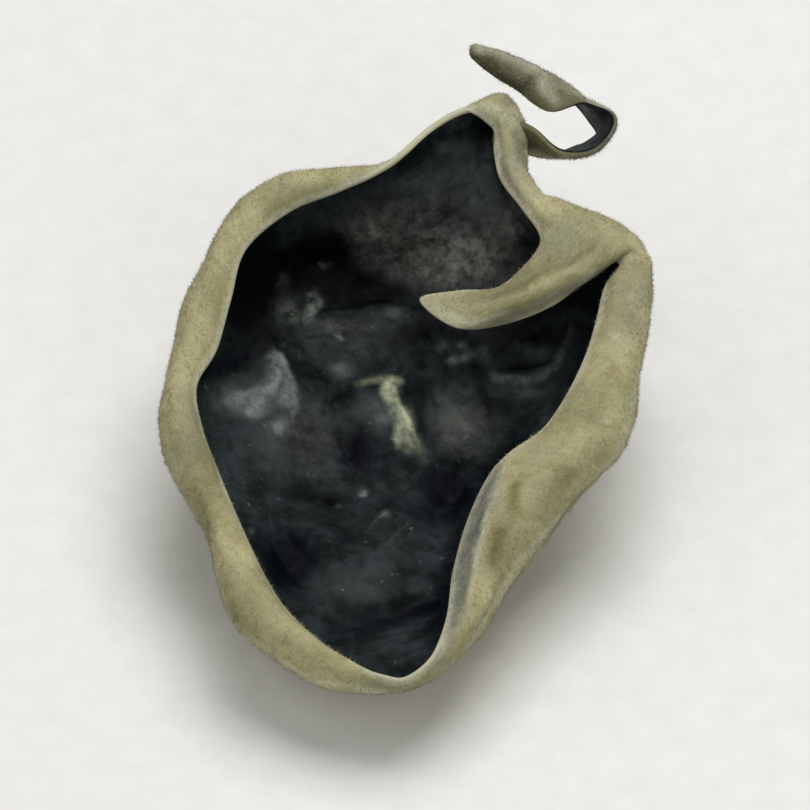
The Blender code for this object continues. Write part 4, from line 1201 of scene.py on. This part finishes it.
def wood_ear():
    """The whole fruit body: the sheet with both skins and the strip curled back from its rim, as one piece,
    and then the nap on it.

    The felt is shaded between its wrinkles and pale along its free edge. Its grain is a cylinder's surface,
    as long round as the rim, with the way out drawn short, so that the streaks run that way.
    """
    upper_steps, under_steps = ring_steps(UPPER_SPANS), ring_steps(UNDER_SPANS)
    upper, edge = black_skin(upper_steps)
    under, wrinkle = felted_skin(under_steps)
    strip, rise = strip_rings()
    strip_points = flat(list(strip))
    station, out = sheet_places(under)

    on_band = ramp(under_steps, *BAND_SPAN)[:, None]
    felt = {name: values * on_band for name, values in felt_marks(under).items()}
    between = np.clip(WRINKLE_TOP - wrinkle, 0, 1) * (WALL_SHADE + (BAND_SHADE - WALL_SHADE) * on_band)
    felt["shade"] = np.maximum(felt["shade"], between)
    felt["pale"] = np.maximum(felt["pale"], PALE_EDGE * ramp(out[-1] - out, PALE_EDGE_WIDTH, 0))
    no_skin, no_edge, no_felt = (np.zeros((len(rings), AROUND)) for rings in (upper, edge, under))
    marks = {name: whole(values, no_edge, no_felt) for name, values in skin_marks(upper, upper_steps).items()}
    for name, values in felt.items():
        on_edge = no_edge + PALE_EDGE if name == "pale" else no_edge
        marks[name] = whole(no_skin, on_edge, values)
    angle = station * 2 * math.pi / len(MARGIN)
    radius = RIM_LENGTH / (2 * math.pi)
    grain = np.stack((radius * np.cos(angle), radius * np.sin(angle), out / GRAIN_STRETCH), axis=-1)
    grain = whole([grain[-1]] * len(upper), [grain[-1]] * len(edge), grain)

    points = whole(upper, edge, under)
    rings = len(upper) + len(edge) + len(under)
    sheet = sheet_faces(rings - 2, AROUND)
    faces = sheet + sheet_faces(STRIP_ALONG - 2, STRIP_ROUND, len(points))
    turned_in = (rise < -FELT_SIDE) & (np.roll(rise, -1, axis=1) < -FELT_SIDE)
    slots = np.zeros(len(faces), dtype=np.int32)
    slots[:AROUND * (len(upper) - 1)] = 1
    slots[len(sheet) + STRIP_ROUND:-STRIP_ROUND] = turned_in[1:-2].ravel()

    strip_marks = felt_marks(strip_points)
    strip_marks["shade"] += STRIP_SHADE
    no_mark = np.zeros(len(strip_points))
    marks = {name: np.concatenate((values, strip_marks.get(name, no_mark))) for name, values in marks.items()}
    points = np.concatenate((points, strip_points))
    felt_look = felt_material()
    mesh = new_mesh("wood_ear_skin", points, faces, felt_look, skin_material())
    mesh.polygons.foreach_set("material_index", slots)
    layer = mesh.attributes.new("grain", "FLOAT_VECTOR", "POINT")
    layer.data.foreach_set("vector", np.concatenate((grain, strip_points)).astype(np.float32).ravel())
    put_piece(mesh, marks)
    nap(under, under_steps, strip, rise, felt_look)


def studio():
    """A pale paper floor, a soft key light high behind on the right, weaker ones in front, and a pale sky."""
    mesh = bpy.data.meshes.new("floor")
    corners = np.array(((-1, -1, 0), (1, -1, 0), (1, 1, 0), (-1, 1, 0))) * FLOOR_HALF
    mesh.from_pydata(corners.tolist(), [], [(0, 1, 2, 3)])
    floor = bpy.data.objects.new("floor", mesh)
    bpy.context.scene.collection.objects.link(floor)
    material, tree, reads = new_material("matte_paper", (), {"fibre": (2, 2, 0.55)})
    tone = laid(tree, reads, linear("e2e1dd"), (("e7e6e2", None, "fibre", 0.3, 0.7, 0, 1),))
    finish(tree, {"Base Color": tone, "Roughness": 0.9})
    mesh.materials.append(material)

    for name, where, size, power in LAMPS:
        light = bpy.data.lights.new(name, "AREA")
        light.size = size
        light.energy = power
        lamp = bpy.data.objects.new(name, light)
        lamp.location = where
        lamp.rotation_mode = "QUATERNION"
        lamp.rotation_quaternion = (Vector(LIT_PLACE) - lamp.location).to_track_quat("-Z", "Y")
        bpy.context.scene.collection.objects.link(lamp)

    world = bpy.data.worlds.new("sky")
    world.use_nodes = True
    background = world.node_tree.nodes["Background"]
    background.inputs["Color"].default_value = linear("eef0f2")
    background.inputs["Strength"].default_value = 0.24
    bpy.context.scene.world = world
    bpy.context.scene.view_settings.view_transform = "Standard"


def look(aim, reach):
    """A long lens at the sight line's angle, far enough back for the frame to be reach metres across."""
    data = bpy.data.cameras.new("camera")
    data.lens = LENS
    camera = bpy.data.objects.new("camera", data)
    bpy.context.scene.collection.objects.link(camera)
    distance = reach * data.lens / data.sensor_width
    back = Vector((0, -math.cos(SIGHT_LINE), math.sin(SIGHT_LINE)))
    camera.location = Vector(aim) + back * distance
    camera.rotation_mode = "QUATERNION"
    camera.rotation_quaternion = (-back).to_track_quat("-Z", "Y")
    data.clip_start, data.clip_end = 0.01, 5.0
    bpy.context.scene.camera = camera


wood_ear()
studio()
look(((np.array(AIM) + ROW_SHIFT) * MM).tolist(), FRAME_WIDTH * MM)
